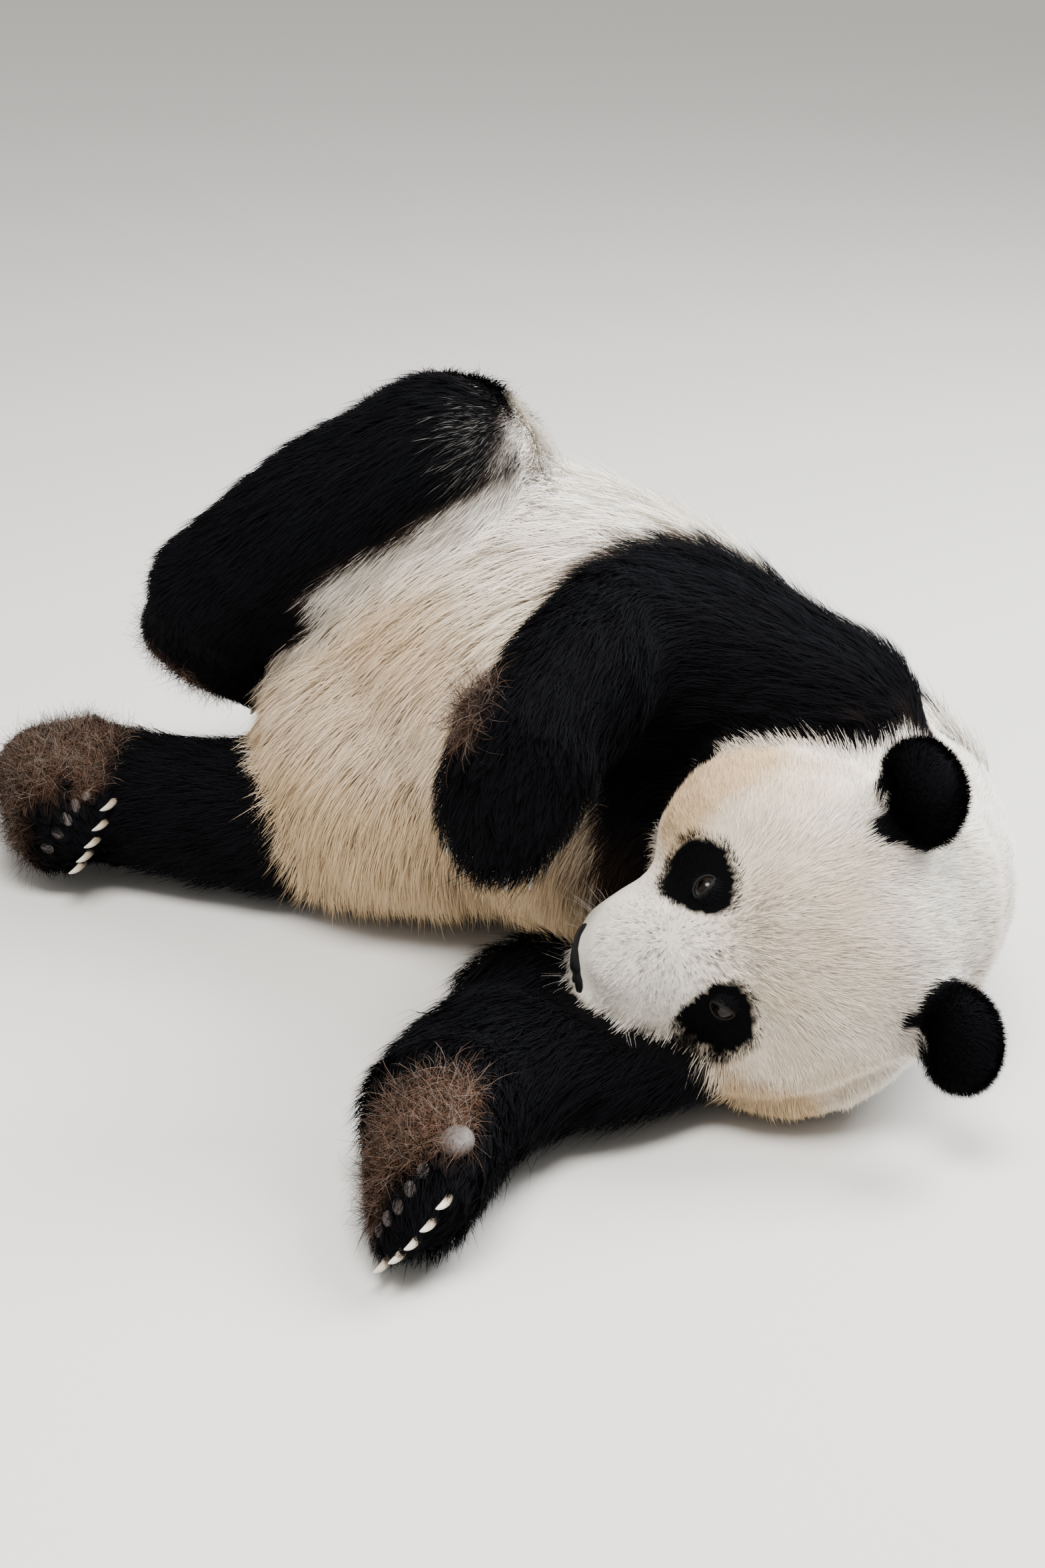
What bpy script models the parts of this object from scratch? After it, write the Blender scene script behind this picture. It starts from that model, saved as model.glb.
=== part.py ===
"""A giant panda at rest on its left side, at life size.

The animal lies on the floor with its belly to -Y, its back to +Y, its head to +X and its right side up.
Every stretch of flesh is modelled out to the tips of the coat.  The body is grown in five masses: the core
(head, neck and trunk) and the four legs.  Each mass is a union of tapered lengths that is remeshed, smoothed
and thinned, and is then parted at its joints with thin flat cuts.  Where two masses touch, one gives way to
the other.
"""

import math

import bmesh
import bpy
from mathutils import Matrix, Vector

# ---------------------------------------------------------------- driving dimensions, in metres

GAP = 0.0003          # width of the cuts at the joints
CLEARANCE = 0.0005    # space between masses that touch
VOXEL_CORE = 0.012    # grain of the remeshed head, neck and trunk
VOXEL_LEG = 0.008     # grain of the remeshed legs, whose paws carry the toes
FACES_CORE = 1380     # triangles left in each mass after thinning
FACES_LEG = 550
FACES_SMALL = 140

# The head: centre of the skull, and its three own directions.
HEAD_CENTRE = Vector((-0.055, 0.033, 0.153))
HEAD_FACING = Vector((-0.181, -0.983, -0.011)).normalized()    # out along the muzzle
HEAD_CROWN = Vector((0.913, -0.172, 0.368)).normalized()       # up through the crown
HEAD_RIGHT = HEAD_FACING.cross(HEAD_CROWN).normalized()        # to the animal's right ear

EYE_RADIUS = 0.0125
EYE_FORWARD, EYE_UP, EYE_OUT = 0.093, 0.054, 0.0455
EYE_GAZE = (0.62, 0.52, 0.59)                                  # forward, up and out
EAR_FORWARD, EAR_UP, EAR_OUT = -0.072, 0.128, 0.100
EAR_RADII = (0.036, 0.050, 0.050)
NOSE_FORWARD, NOSE_UP, NOSE_OUT = 0.175, -0.040, -0.004
NOSE_RADII = (0.010, 0.033, 0.018)

CLAW_LENGTH = 0.034
CLAW_WIDTH = 0.0041
TOES = 5


def at(x, y, z, wide, thick=None):
    """A station: where the flesh is centred, and half its width and thickness there."""
    return (Vector((x, y, z)), wide, wide if thick is None else thick)


# The trunk from the rump to the nape.
TRUNK = (
    at(-0.985, 0.150, 0.165, 0.080, 0.090),
    at(-0.900, 0.150, 0.188, 0.175, 0.172),
    at(-0.780, 0.145, 0.203, 0.215, 0.204),
    at(-0.630, 0.125, 0.210, 0.235, 0.213),
    at(-0.480, 0.118, 0.206, 0.235, 0.210),
    at(-0.350, 0.125, 0.188, 0.220, 0.190),
    at(-0.240, 0.145, 0.175, 0.190, 0.173),
    at(-0.150, 0.155, 0.170, 0.160, 0.158),
    at(-0.070, 0.150, 0.162, 0.120, 0.124),
    at(-0.025, 0.125, 0.158, 0.096, 0.112),
)
# The paunch that sags to the floor: centre and radii.
PAUNCH = (
    (Vector((-0.600, 0.000, 0.150)), (0.205, 0.170, 0.158)),
    (Vector((-0.625, -0.030, 0.095)), (0.165, 0.135, 0.105)),
)

# Each leg from its root to its tip.  The second and fourth joints after the root are where it parts.
FORELEG_RIGHT = (
    at(-0.145, 0.141, 0.290, 0.092),
    at(-0.205, 0.060, 0.340, 0.090),
    at(-0.250, -0.010, 0.364, 0.074),
    at(-0.196, -0.090, 0.352, 0.075),
    at(-0.155, -0.160, 0.328, 0.070, 0.062),
    at(-0.158, -0.182, 0.285, 0.072, 0.045),
    at(-0.166, -0.195, 0.248, 0.062, 0.034),
)
FORELEG_LEFT = (
    at(-0.141, 0.121, 0.075, 0.090, 0.075),
    at(-0.125, 0.000, 0.048, 0.105, 0.050),
    at(-0.120, -0.120, 0.050, 0.108, 0.053),
    at(-0.125, -0.200, 0.064, 0.095, 0.068),
    at(-0.075, -0.290, 0.064, 0.080, 0.064),
    at(-0.015, -0.335, 0.058, 0.072, 0.050),
    at(0.040, -0.375, 0.052, 0.060, 0.038),
)
HINDLEG_RIGHT = (
    at(-0.860, 0.150, 0.290, 0.118),
    at(-0.735, 0.096, 0.350, 0.140),
    at(-0.605, 0.030, 0.432, 0.100),
    at(-0.670, -0.060, 0.378, 0.095),
    at(-0.745, -0.145, 0.305, 0.076),
    at(-0.785, -0.135, 0.255, 0.070, 0.062),
    at(-0.830, -0.075, 0.200, 0.064, 0.042),
)
HINDLEG_LEFT = (
    at(-0.860, 0.140, 0.120, 0.115),
    at(-0.740, 0.000, 0.098, 0.102),
    at(-0.665, -0.105, 0.086, 0.088),
    at(-0.765, -0.185, 0.080, 0.080),
    at(-0.885, -0.235, 0.076, 0.074),
    at(-0.870, -0.275, 0.074, 0.070, 0.058),
    at(-0.815, -0.300, 0.070, 0.064, 0.042),
)
HEEL_RIGHT = (Vector((-0.786, -0.166, 0.262)), (0.050, 0.050, 0.050))
HEEL_LEFT = (Vector((-0.955, -0.245, 0.068)), (0.062, 0.062, 0.060))
ELBOW_LEFT = (Vector((-0.185, -0.145, 0.080)), (0.060, 0.080, 0.068))

# Each paw: middle of the row of toes, the way the toes point, the way the palm or sole faces, half the row.
PAWS = {
    "forepaw_right": (Vector((-0.166, -0.193, 0.234)), Vector((-0.10, -0.25, -0.95)),
                      Vector((-0.55, 0.80, -0.10)), 0.038),
    "forepaw_left": (Vector((0.060, -0.400, 0.046)), Vector((0.86, -0.51, -0.07)),
                     Vector((-0.34, -0.67, 0.65)), 0.036),
    "hindfoot_right": (Vector((-0.848, -0.060, 0.184)), Vector((-0.54, 0.58, -0.61)),
                       Vector((-0.65, -0.74, -0.13)), 0.044),
    "hindfoot_left": (Vector((-0.757, -0.286, 0.074)), Vector((0.905, -0.424, -0.096)),
                      Vector((-0.341, -0.828, 0.446)), 0.037),
}

# Where each leg parts at its elbow or knee and at its wrist or ankle: shift of the cut from the joint, how it
# leans, and its radius.
PARTINGS = {
    "forepaw_right": ((Vector(), Vector(), 0.130), (Vector(), Vector(), 0.115)),
    "forepaw_left": ((Vector(), Vector(), 0.170), (Vector(), Vector(), 0.125)),
    "hindfoot_right": ((Vector(), Vector(), 0.255), (Vector(), Vector(), 0.150)),
    "hindfoot_left": (
        (Vector(), Vector(), 0.150),
        (Vector((0.035, 0.020, 0)), Vector((0.37, -0.27, 0)), 0.150),
    ),
}

TAIL = (
    at(-1.010, 0.185, 0.200, 0.050, 0.040),
    at(-1.050, 0.180, 0.150, 0.055, 0.038),
    at(-1.068, 0.172, 0.105, 0.045, 0.030),
)

# ---------------------------------------------------------------- materials


def finish(name, colour, roughness):
    material = bpy.data.materials.new(name)
    material.use_nodes = True
    shader = material.node_tree.nodes["Principled BSDF"]
    shader.inputs["Base Color"].default_value = (*colour, 1.0)
    shader.inputs["Roughness"].default_value = roughness
    material.diffuse_color = (*colour, 1.0)
    return material


# ---------------------------------------------------------------- mesh tools


def new_object(name, bm):
    mesh = bpy.data.meshes.new(name)
    bmesh.ops.recalc_face_normals(bm, faces=bm.faces)
    bm.to_mesh(mesh)
    bm.free()
    made = bpy.data.objects.new(name, mesh)
    bpy.context.collection.objects.link(made)
    return made


def remove(made):
    bpy.data.objects.remove(made, do_unlink=True)


def baked(made):
    """Replace an object's mesh with the result of its modifiers."""
    bpy.context.view_layer.update()
    graph = bpy.context.evaluated_depsgraph_get()
    mesh = bpy.data.meshes.new_from_object(made.evaluated_get(graph))
    made.modifiers.clear()
    made.data = mesh
    return made


def frame_along(direction, side):
    """Rotation whose X runs along direction and whose Y is as near side as it can be."""
    x = direction.normalized()
    y = (side - x * side.dot(x)).normalized()
    z = x.cross(y)
    return Matrix((x, y, z)).transposed().to_4x4()


def add_lump(bm, centre, turn, radii, rings=8):
    """An ellipsoid with the given radii along its own axes."""
    place = Matrix.Translation(centre) @ turn @ Matrix.Diagonal((*radii, 1.0))
    bmesh.ops.create_uvsphere(bm, u_segments=2 * rings, v_segments=rings, radius=1.0, matrix=place)


def add_length(bm, first, second, side):
    """A tapered length of flesh between two stations."""
    (a, wide_a, thick_a), (b, wide_b, thick_b) = first, second
    turn = frame_along(b - a, side)
    work = bmesh.new()
    add_lump(work, a, turn, (min(wide_a, thick_a), wide_a, thick_a))
    add_lump(work, b, turn, (min(wide_b, thick_b), wide_b, thick_b))
    hull = bmesh.ops.convex_hull(work, input=work.verts)
    inner = [v for v in hull["geom_interior"] if isinstance(v, bmesh.types.BMVert)]
    bmesh.ops.delete(work, geom=inner, context="VERTS")
    mesh = bpy.data.meshes.new("length")
    work.to_mesh(mesh)
    work.free()
    bm.from_mesh(mesh)
    bpy.data.meshes.remove(mesh)


def add_limb(bm, stations, side):
    for first, second in zip(stations, stations[1:]):
        add_length(bm, first, second, side)


def fused(name, bm, voxel, faces, smoothing):
    """Join overlapping lumps into one smooth body with about the given number of triangles."""
    made = new_object(name, bm)
    remesh = made.modifiers.new("remesh", "REMESH")
    remesh.mode = "VOXEL"
    remesh.voxel_size = voxel
    smooth = made.modifiers.new("smooth", "SMOOTH")
    smooth.factor = 0.5
    smooth.iterations = smoothing
    made.modifiers.new("triangles", "TRIANGULATE")
    baked(made)
    thin = made.modifiers.new("thin", "DECIMATE")
    thin.ratio = min(1.0, faces / len(made.data.polygons))
    return baked(made)


def bodies_of(bm):
    """The vertices of each connected body of a mesh."""
    seen, bodies = set(), []
    for start in bm.verts:
        if start in seen:
            continue
        seen.add(start)
        body, edge = [], [start]
        while edge:
            v = edge.pop()
            body.append(v)
            for w in (e.other_vert(v) for e in v.link_edges):
                if w not in seen:
                    seen.add(w)
                    edge.append(w)
        bodies.append(body)
    return sorted(bodies, key=len, reverse=True)


def cut_by(made, cutter):
    """Take a cutter away from an object, and keep the largest body that is left."""
    cutter.hide_render = True
    cutter.display_type = "WIRE"
    cut = made.modifiers.new("cut", "BOOLEAN")
    cut.operation = "DIFFERENCE"
    cut.solver = "EXACT"
    cut.object = cutter
    baked(made)
    remove(cutter)
    return made


def keep_biggest(made):
    bm = bmesh.new()
    bm.from_mesh(made.data)
    for body in bodies_of(bm)[1:]:
        bmesh.ops.delete(bm, geom=body, context="VERTS")
    bm.to_mesh(made.data)
    bm.free()
    return made


def give_way(made, *others):
    """Cut an object back to leave a small gap to each of the others."""
    for other in others:
        for strength in (CLEARANCE, 0.0):
            cutter = bpy.data.objects.new(other.name + "_cutter", other.data.copy())
            bpy.context.collection.objects.link(cutter)
            grow = cutter.modifiers.new("grow", "DISPLACE")
            grow.strength = strength
            grow.mid_level = 0.0
            cut_by(made, baked(cutter))
    return keep_biggest(made)


def disc(point, normal, radius):
    """A thin disc that parts the flesh across a joint."""
    bm = bmesh.new()
    turn = normal.to_track_quat("Z", "Y").to_matrix().to_4x4()
    bmesh.ops.create_cone(bm, cap_ends=True, segments=24, radius1=radius, radius2=radius,
                          depth=GAP, matrix=Matrix.Translation(point) @ turn)
    return new_object("disc", bm)


def split(made, cut):
    """Part an object in two with a disc: first the piece behind it, then the piece it faces."""
    cut_by(made, disc(*cut))
    point, normal, _ = cut
    source = bmesh.new()
    source.from_mesh(made.data)
    pair = bodies_of(source)[:2]
    pair.sort(key=lambda body: sum((v.co - point).dot(normal) for v in body) / len(body))
    pieces = []
    for body in pair:
        piece = source.copy()
        keep = {v.index for v in body}
        bmesh.ops.delete(piece, geom=[v for v in piece.verts if v.index not in keep], context="VERTS")
        pieces.append(new_object("piece", piece))
    source.free()
    remove(made)
    return pieces


def parted(made, discs, names):
    """Part an object along its length with discs, and name the pieces in that order."""
    pieces = {}
    for cut, name in zip(discs, names):
        near, made = split(made, cut)
        near.name = name
        pieces[name] = near
    made.name = names[-1]
    pieces[names[-1]] = made
    return pieces


def levelled(made):
    """Cut off what lies below the floor, which leaves small flats at z = 0."""
    bm = bmesh.new()
    bm.from_mesh(made.data)
    geometry = bm.verts[:] + bm.edges[:] + bm.faces[:]
    cut = bmesh.ops.bisect_plane(
        bm, geom=geometry, dist=1e-6, plane_co=Vector(), plane_no=Vector((0, 0, -1)), clear_outer=True)
    rim = [e for e in cut["geom_cut"] if isinstance(e, bmesh.types.BMEdge)]
    if rim:
        caps = bmesh.ops.holes_fill(bm, edges=rim)["faces"]
        bmesh.ops.triangulate(bm, faces=caps)
    bmesh.ops.recalc_face_normals(bm, faces=bm.faces)
    bm.to_mesh(made.data)
    bm.free()
    return made


# ---------------------------------------------------------------- the head


def in_head(forward, up, out=0.0):
    return HEAD_CENTRE + HEAD_FACING * forward + HEAD_CROWN * up + HEAD_RIGHT * out


def head_frame():
    """X out along the muzzle, Y to the left ear, Z out of the crown."""
    return Matrix((HEAD_FACING, -HEAD_RIGHT, HEAD_CROWN)).transposed().to_4x4()


def add_head(bm):
    turn = head_frame()
    add_lump(bm, in_head(-0.020, 0.020), turn, (0.132, 0.142, 0.122), rings=12)      # skull and crown
    add_lump(bm, in_head(0.114, -0.024, -0.003), turn, (0.070, 0.067, 0.056), rings=12)      # muzzle
    add_lump(bm, in_head(0.134, -0.062, -0.003), turn, (0.044, 0.054, 0.030), rings=12)      # lips
    add_lump(bm, in_head(0.070, 0.012, -0.003), turn, (0.080, 0.070, 0.068), rings=12)       # bridge
    add_lump(bm, in_head(0.095, -0.066, -0.003), turn, (0.064, 0.048, 0.032), rings=12)      # chin
    for side in (-1, 1):
        add_lump(bm, in_head(0.002, -0.010, side * 0.080), turn, (0.106, 0.083, 0.104), rings=12)   # cheek


def build_ear(name, side, skin):
    """A rounded ear: a furred cup whose hollow faces forward."""
    bm = bmesh.new()
    centre = in_head(EAR_FORWARD, EAR_UP, side * EAR_OUT)
    add_lump(bm, centre, head_frame(), EAR_RADII, rings=7)
    ear = new_object(name, bm)
    scoop = bmesh.new()
    hollow = in_head(EAR_FORWARD + 0.044, EAR_UP - 0.020, side * (EAR_OUT + 0.006))
    add_lump(scoop, hollow, head_frame(), (0.030, 0.024, 0.026), rings=5)
    cut_by(ear, new_object("scoop", scoop))
    ear.data.materials.append(skin)
    return ear


def build_eye(name, side, finish_of_eye):
    bm = bmesh.new()
    radii = (EYE_RADIUS, EYE_RADIUS, EYE_RADIUS)
    add_lump(bm, in_head(EYE_FORWARD, EYE_UP, side * EYE_OUT), head_frame(), radii, rings=6)
    eye = new_object(name, bm)
    eye.data.materials.append(finish_of_eye)
    return eye


def open_lids(head, side):
    """Open the flesh in front of an eye, so that the eye shows from the depth it lies at."""
    gaze = HEAD_FACING * EYE_GAZE[0] + HEAD_CROWN * EYE_GAZE[1] + HEAD_RIGHT * side * EYE_GAZE[2]
    bm = bmesh.new()
    start = in_head(EYE_FORWARD, EYE_UP, side * EYE_OUT)
    add_lump(bm, start + gaze * 0.018, frame_along(gaze, HEAD_RIGHT), (0.020, 0.0105, 0.0085), rings=5)
    cut_by(head, new_object("lids", bm))


def build_nose(leather):
    bm = bmesh.new()
    add_lump(bm, in_head(NOSE_FORWARD, NOSE_UP, NOSE_OUT), head_frame(), NOSE_RADII, rings=6)
    nose = new_object("nose", bm)
    nose.data.materials.append(leather)
    return nose


# ---------------------------------------------------------------- masses


def build_core():
    bm = bmesh.new()
    add_limb(bm, TRUNK, Vector((0, 1, 0)))
    for centre, radii in PAUNCH:
        add_lump(bm, centre, Matrix(), radii, rings=12)
    add_head(bm)
    return levelled(fused("core", bm, VOXEL_CORE, FACES_CORE, smoothing=6))


def paw_frame(paw):
    """X along the toes, Y across them, Z out of the back of the paw."""
    _, forward, palm, _ = PAWS[paw]
    x = forward.normalized()
    z = -(palm - x * palm.dot(x)).normalized()
    return Matrix((x, z.cross(x), z)).transposed().to_4x4()


def toe_places(paw):
    """Where each toe ends, on a shallow arc across the paw."""
    middle, _, _, half_row = PAWS[paw]
    turn = paw_frame(paw)
    places = []
    for i in range(TOES):
        across = (i - (TOES - 1) / 2) / ((TOES - 1) / 2)
        places.append(middle + turn @ Vector((-0.012 * across ** 2, half_row * across, 0.0)))
    return places


def build_leg(name, paw, stations, side, foot_side, heel=None):
    bm = bmesh.new()
    add_limb(bm, stations[:5], side)
    add_limb(bm, stations[4:], foot_side)
    if heel:
        add_lump(bm, heel[0], Matrix(), heel[1])
    turn = paw_frame(paw)
    for place in toe_places(paw):
        add_lump(bm, place - turn @ Vector((0.012, 0, 0)), turn, (0.030, 0.0135, 0.019))
    return levelled(fused(name, bm, VOXEL_LEG, FACES_LEG, smoothing=4))


def new_limb(name, stations):
    bm = bmesh.new()
    add_limb(bm, stations, Vector((0, 1, 0)))
    return fused(name, bm, VOXEL_LEG, FACES_SMALL, smoothing=4)


def build_claw(name, place, turn, horn):
    """A curved, tapering claw that springs from the end of a toe and bends toward the palm."""
    rings, sides, bend = 4, 5, math.radians(58)
    bm = bmesh.new()
    loops = []
    for i in range(rings):
        share = i / rings
        turned = bend * share
        reach = CLAW_LENGTH / bend
        spine = Vector((reach * math.sin(turned), 0.0, -reach * (1 - math.cos(turned))))
        normal = Vector((math.sin(turned), 0.0, math.cos(turned)))
        loop = []
        for j in range(sides):
            angle = 2 * math.pi * j / sides
            width = CLAW_WIDTH * (1 - share) ** 0.7
            spot = spine + normal * (1.35 * width * math.sin(angle)) + Vector((0, width * math.cos(angle), 0))
            loop.append(bm.verts.new(place + turn @ (spot + Vector((0.004, 0, 0.004)))))
        loops.append(loop)
    tip = Vector((reach * math.sin(bend), 0.0, -reach * (1 - math.cos(bend)))) + Vector((0.004, 0, 0.004))
    point = bm.verts.new(place + turn @ tip)
    bm.faces.new(loops[0])
    for first, second in zip(loops, loops[1:]):
        for j in range(sides):
            k = (j + 1) % sides
            bm.faces.new((first[j], first[k], second[k], second[j]))
    for j in range(sides):
        bm.faces.new((loops[-1][j], loops[-1][(j + 1) % sides], point))
    bmesh.ops.triangulate(bm, faces=bm.faces[:])
    claw = new_object(name, bm)
    claw.data.materials.append(horn)
    return claw


def leg_discs(paw, stations):
    """Discs across the middle joint and the wrist or ankle of a leg."""
    discs = []
    for i, (shift, lean, radius) in zip((2, 4), PARTINGS[paw]):
        normal = (stations[i + 1][0] - stations[i - 1][0]).normalized() + lean
        discs.append((stations[i][0] + shift, normal.normalized(), radius))
    return discs


LEGS = {
    "forepaw_right": ("upper_arm_right", "forearm_right", FORELEG_RIGHT, None,
                      Vector((0, 0, 1)), Vector((1, 0.5, 0))),
    "forepaw_left": ("upper_arm_left", "forearm_left", FORELEG_LEFT, ELBOW_LEFT,
                     Vector((1, 0, 0)), Vector((0.4, 0.5, 0.75))),
    "hindfoot_right": ("thigh_right", "shank_right", HINDLEG_RIGHT, HEEL_RIGHT,
                       Vector((0, 1, 0)), Vector((0.5, 0.0, -0.6))),
    "hindfoot_left": ("thigh_left", "shank_left", HINDLEG_LEFT, HEEL_LEFT,
                      Vector((0, 1, 0)), Vector((0, 0, 1))),
}


def place_on_floor():
    """Move everything so that the middle of the whole animal's box stands over the origin."""
    solids = [made for made in bpy.data.objects if made.type == "MESH"]
    corners = [v.co for made in solids for v in made.data.vertices]
    middle_x = (min(c.x for c in corners) + max(c.x for c in corners)) / 2
    middle_y = (min(c.y for c in corners) + max(c.y for c in corners)) / 2
    for made in solids:
        made.data.transform(Matrix.Translation((-middle_x, -middle_y, 0.0)))
        made.data.update()


def main():
    for made in list(bpy.data.objects):
        remove(made)
    cream = finish("cream_coat", (0.78, 0.72, 0.60), 0.9)
    black = finish("black_coat", (0.012, 0.012, 0.015), 0.85)
    dark_eye = finish("eye", (0.02, 0.012, 0.008), 0.1)
    leather = finish("nose_leather", (0.02, 0.02, 0.022), 0.5)
    horn = finish("claw_horn", (0.62, 0.55, 0.42), 0.4)

    core = build_core()
    for side in (-1, 1):
        open_lids(core, side)
    eyes = [build_eye("eye_right", 1, dark_eye), build_eye("eye_left", -1, dark_eye)]
    nose = build_nose(leather)
    give_way(core, *eyes, nose)

    masses = {paw: build_leg(paw + "_leg", paw, stations, side, foot_side, heel)
              for paw, (_, _, stations, heel, side, foot_side) in LEGS.items()}
    # The upper legs lie over the body and press into it; the lower ones are pressed by it.
    give_way(core, masses["forepaw_right"], masses["hindfoot_right"])
    give_way(masses["hindfoot_left"], core, masses["hindfoot_right"])
    give_way(masses["forepaw_left"], core, nose)
    for paw, mass in masses.items():
        turn = paw_frame(paw)
        claws = [build_claw(f"claw_{paw}_{i + 1}", place, turn, horn)
                 for i, place in enumerate(toe_places(paw))]
        give_way(mass, *claws)
        give_way(core, *claws)
    tail = new_limb("tail", TAIL)
    give_way(tail, core)

    throat = (Vector((-0.115, 0.155, 0.170)), Vector((0.95, -0.31, 0.0)), 0.26)
    nape = (in_head(-0.085, -0.030), HEAD_FACING * 0.817 + HEAD_CROWN * 0.577, 0.20)
    flesh = parted(core, [throat, nape], ("trunk", "neck", "head"))
    for paw, (upper, lower, stations, _, _, _) in LEGS.items():
        flesh |= parted(masses[paw], leg_discs(paw, stations), (upper, lower, paw))
    flesh["ear_right"] = give_way(build_ear("ear_right", 1, black), flesh["head"])
    flesh["ear_left"] = levelled(give_way(build_ear("ear_left", -1, black), flesh["head"]))
    flesh["tail"] = tail
    for name, piece in flesh.items():
        piece.data.materials.clear()
        piece.data.materials.append(cream if name in ("head", "neck", "trunk", "tail") else black)
    place_on_floor()


main()
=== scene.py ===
# %% [markdown]
# # A giant panda, lying on its side
#
# The solid shapes of the animal come from the frame, in metres, and reach out to the tips of the coat.  Here
# they get what a furred animal has: a skin that lies inside them, lids, a leathery nose, wet eyes, horny claws,
# bare pads, and more than 400,000 tapering tufts of hair that follow the lie of the coat.

# %% Load the frame
import math

import bmesh
import bpy
import numpy as np
from mathutils import Matrix, Vector
from mathutils.bvhtree import BVHTree


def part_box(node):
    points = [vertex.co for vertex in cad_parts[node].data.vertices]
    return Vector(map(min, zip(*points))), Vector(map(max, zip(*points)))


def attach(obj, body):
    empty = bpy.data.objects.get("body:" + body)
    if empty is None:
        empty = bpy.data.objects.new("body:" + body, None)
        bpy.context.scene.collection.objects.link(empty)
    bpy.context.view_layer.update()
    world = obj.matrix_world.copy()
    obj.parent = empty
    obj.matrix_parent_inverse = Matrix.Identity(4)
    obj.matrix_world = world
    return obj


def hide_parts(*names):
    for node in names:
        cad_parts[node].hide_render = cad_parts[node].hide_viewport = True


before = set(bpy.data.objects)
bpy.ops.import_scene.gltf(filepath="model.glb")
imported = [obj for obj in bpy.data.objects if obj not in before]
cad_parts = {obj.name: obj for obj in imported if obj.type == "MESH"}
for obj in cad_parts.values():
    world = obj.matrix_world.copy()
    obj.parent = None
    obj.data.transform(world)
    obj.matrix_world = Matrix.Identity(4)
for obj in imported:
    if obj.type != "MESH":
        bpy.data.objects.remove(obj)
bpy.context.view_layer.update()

rng = np.random.default_rng(7)


def rounded(values, digits=3):
    return [round(float(value), digits) for value in values]


# %% [markdown]
# ## Landmarks
#
# The eyes and the nose fix the head: the line through the eyes is its crosswise axis, and the nose tells how
# the face is turned.  Every other place is measured from the point on the floor under the resting cheek.

# %% The head's own axes
def middle(node):
    low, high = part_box(node)
    return (low + high) / 2


SIDES = {1: "right", -1: "left"}
EYES = {side: middle("eye_" + word) for side, word in SIDES.items()}
NOSE = middle("nose")
RIGHT = (EYES[1] - EYES[-1]).normalized()
between = (EYES[1] + EYES[-1]) / 2
ahead = NOSE - between
ahead = (ahead - RIGHT * ahead.dot(RIGHT)).normalized()
FACING = (ahead * 0.6574 + RIGHT.cross(ahead) * 0.7536).normalized()
CROWN = RIGHT.cross(FACING).normalized()
SKULL = between - FACING * 0.093 - CROWN * 0.054
CHEEK = SKULL - Vector((-0.055, 0.033, 0.153))
HEAD_AXES = np.array([FACING, CROWN, RIGHT])
GAZE = (0.62, 0.52, 0.59)  # of the right eye, along the head's axes


def unit(vectors):
    return vectors / np.maximum(np.linalg.norm(vectors, axis=-1, keepdims=True), 1e-9)


def from_skull(points):
    """Places along the head's own axes: forward, up and to its right."""
    return np.subtract(points, SKULL) @ HEAD_AXES.T


print("skull at", rounded(SKULL), "facing", rounded(FACING))

# %% [markdown]
# ## The lie of the coat
#
# Hair on a limb runs from the body toward the toes.  One line for each stretch of flesh is enough to steer all
# of it, because the directions are blended afterwards over the skin.

# %% Lines the hair follows
# Each stretch of flesh: how deep its coat is, how long its hair is, and the line that the hair follows.
COAT = {
    "head": (0.0066, 0.0135), "ear_right": (0.0058, 0.0095), "ear_left": (0.0058, 0.0095),
    "upper_arm_right": (0.0135, 0.031, (-0.145, 0.141, 0.29), (-0.25, -0.01, 0.364)),
    "forearm_right": (0.0125, 0.031, (-0.25, -0.01, 0.364), (-0.155, -0.16, 0.328)),
    "forepaw_right": (0.0085, 0.026, (-0.155, -0.16, 0.328), (-0.166, -0.195, 0.248)),
    "upper_arm_left": (0.0135, 0.032, (-0.141, 0.121, 0.075), (-0.12, -0.12, 0.05)),
    "forearm_left": (0.0125, 0.034, (-0.12, -0.12, 0.06), (-0.075, -0.29, 0.064)),
    "forepaw_left": (0.008, 0.029, (-0.075, -0.29, 0.064), (0.04, -0.375, 0.052)),
    "thigh_right": (0.0145, 0.034, (-0.86, 0.15, 0.29), (-0.605, 0.03, 0.432)),
    "shank_right": (0.013, 0.029, (-0.605, 0.03, 0.432), (-0.745, -0.145, 0.305)),
    "hindfoot_right": (0.009, 0.02, (-0.76, -0.15, 0.29), (-0.83, -0.075, 0.2)),
    "thigh_left": (0.0145, 0.034, (-0.86, 0.14, 0.12), (-0.665, -0.105, 0.086)),
    "shank_left": (0.013, 0.031, (-0.665, -0.105, 0.086), (-0.885, -0.235, 0.076)),
    "hindfoot_left": (0.0085, 0.018, (-0.955, -0.245, 0.068), (-0.815, -0.3, 0.07)),
    "tail": (0.018, 0.045, (-1.01, 0.185, 0.2), (-1.068, 0.172, 0.105)),
    "neck": (0.014, 0.032, (0.01, 0.1, 0.16), (-0.18, 0.16, 0.175)),
    "trunk": (0.0175, 0.043, (-0.1, 0.15, 0.17), (-1.0, 0.15, 0.19)),
}
FLESH = list(COAT)
HEAD = FLESH[:3]
FORELEGS = [node for node in FLESH if "arm" in node or "forepaw" in node]
HINDLEGS = [node for node in FLESH if "thigh" in node or "shank" in node or "hindfoot" in node]
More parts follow.
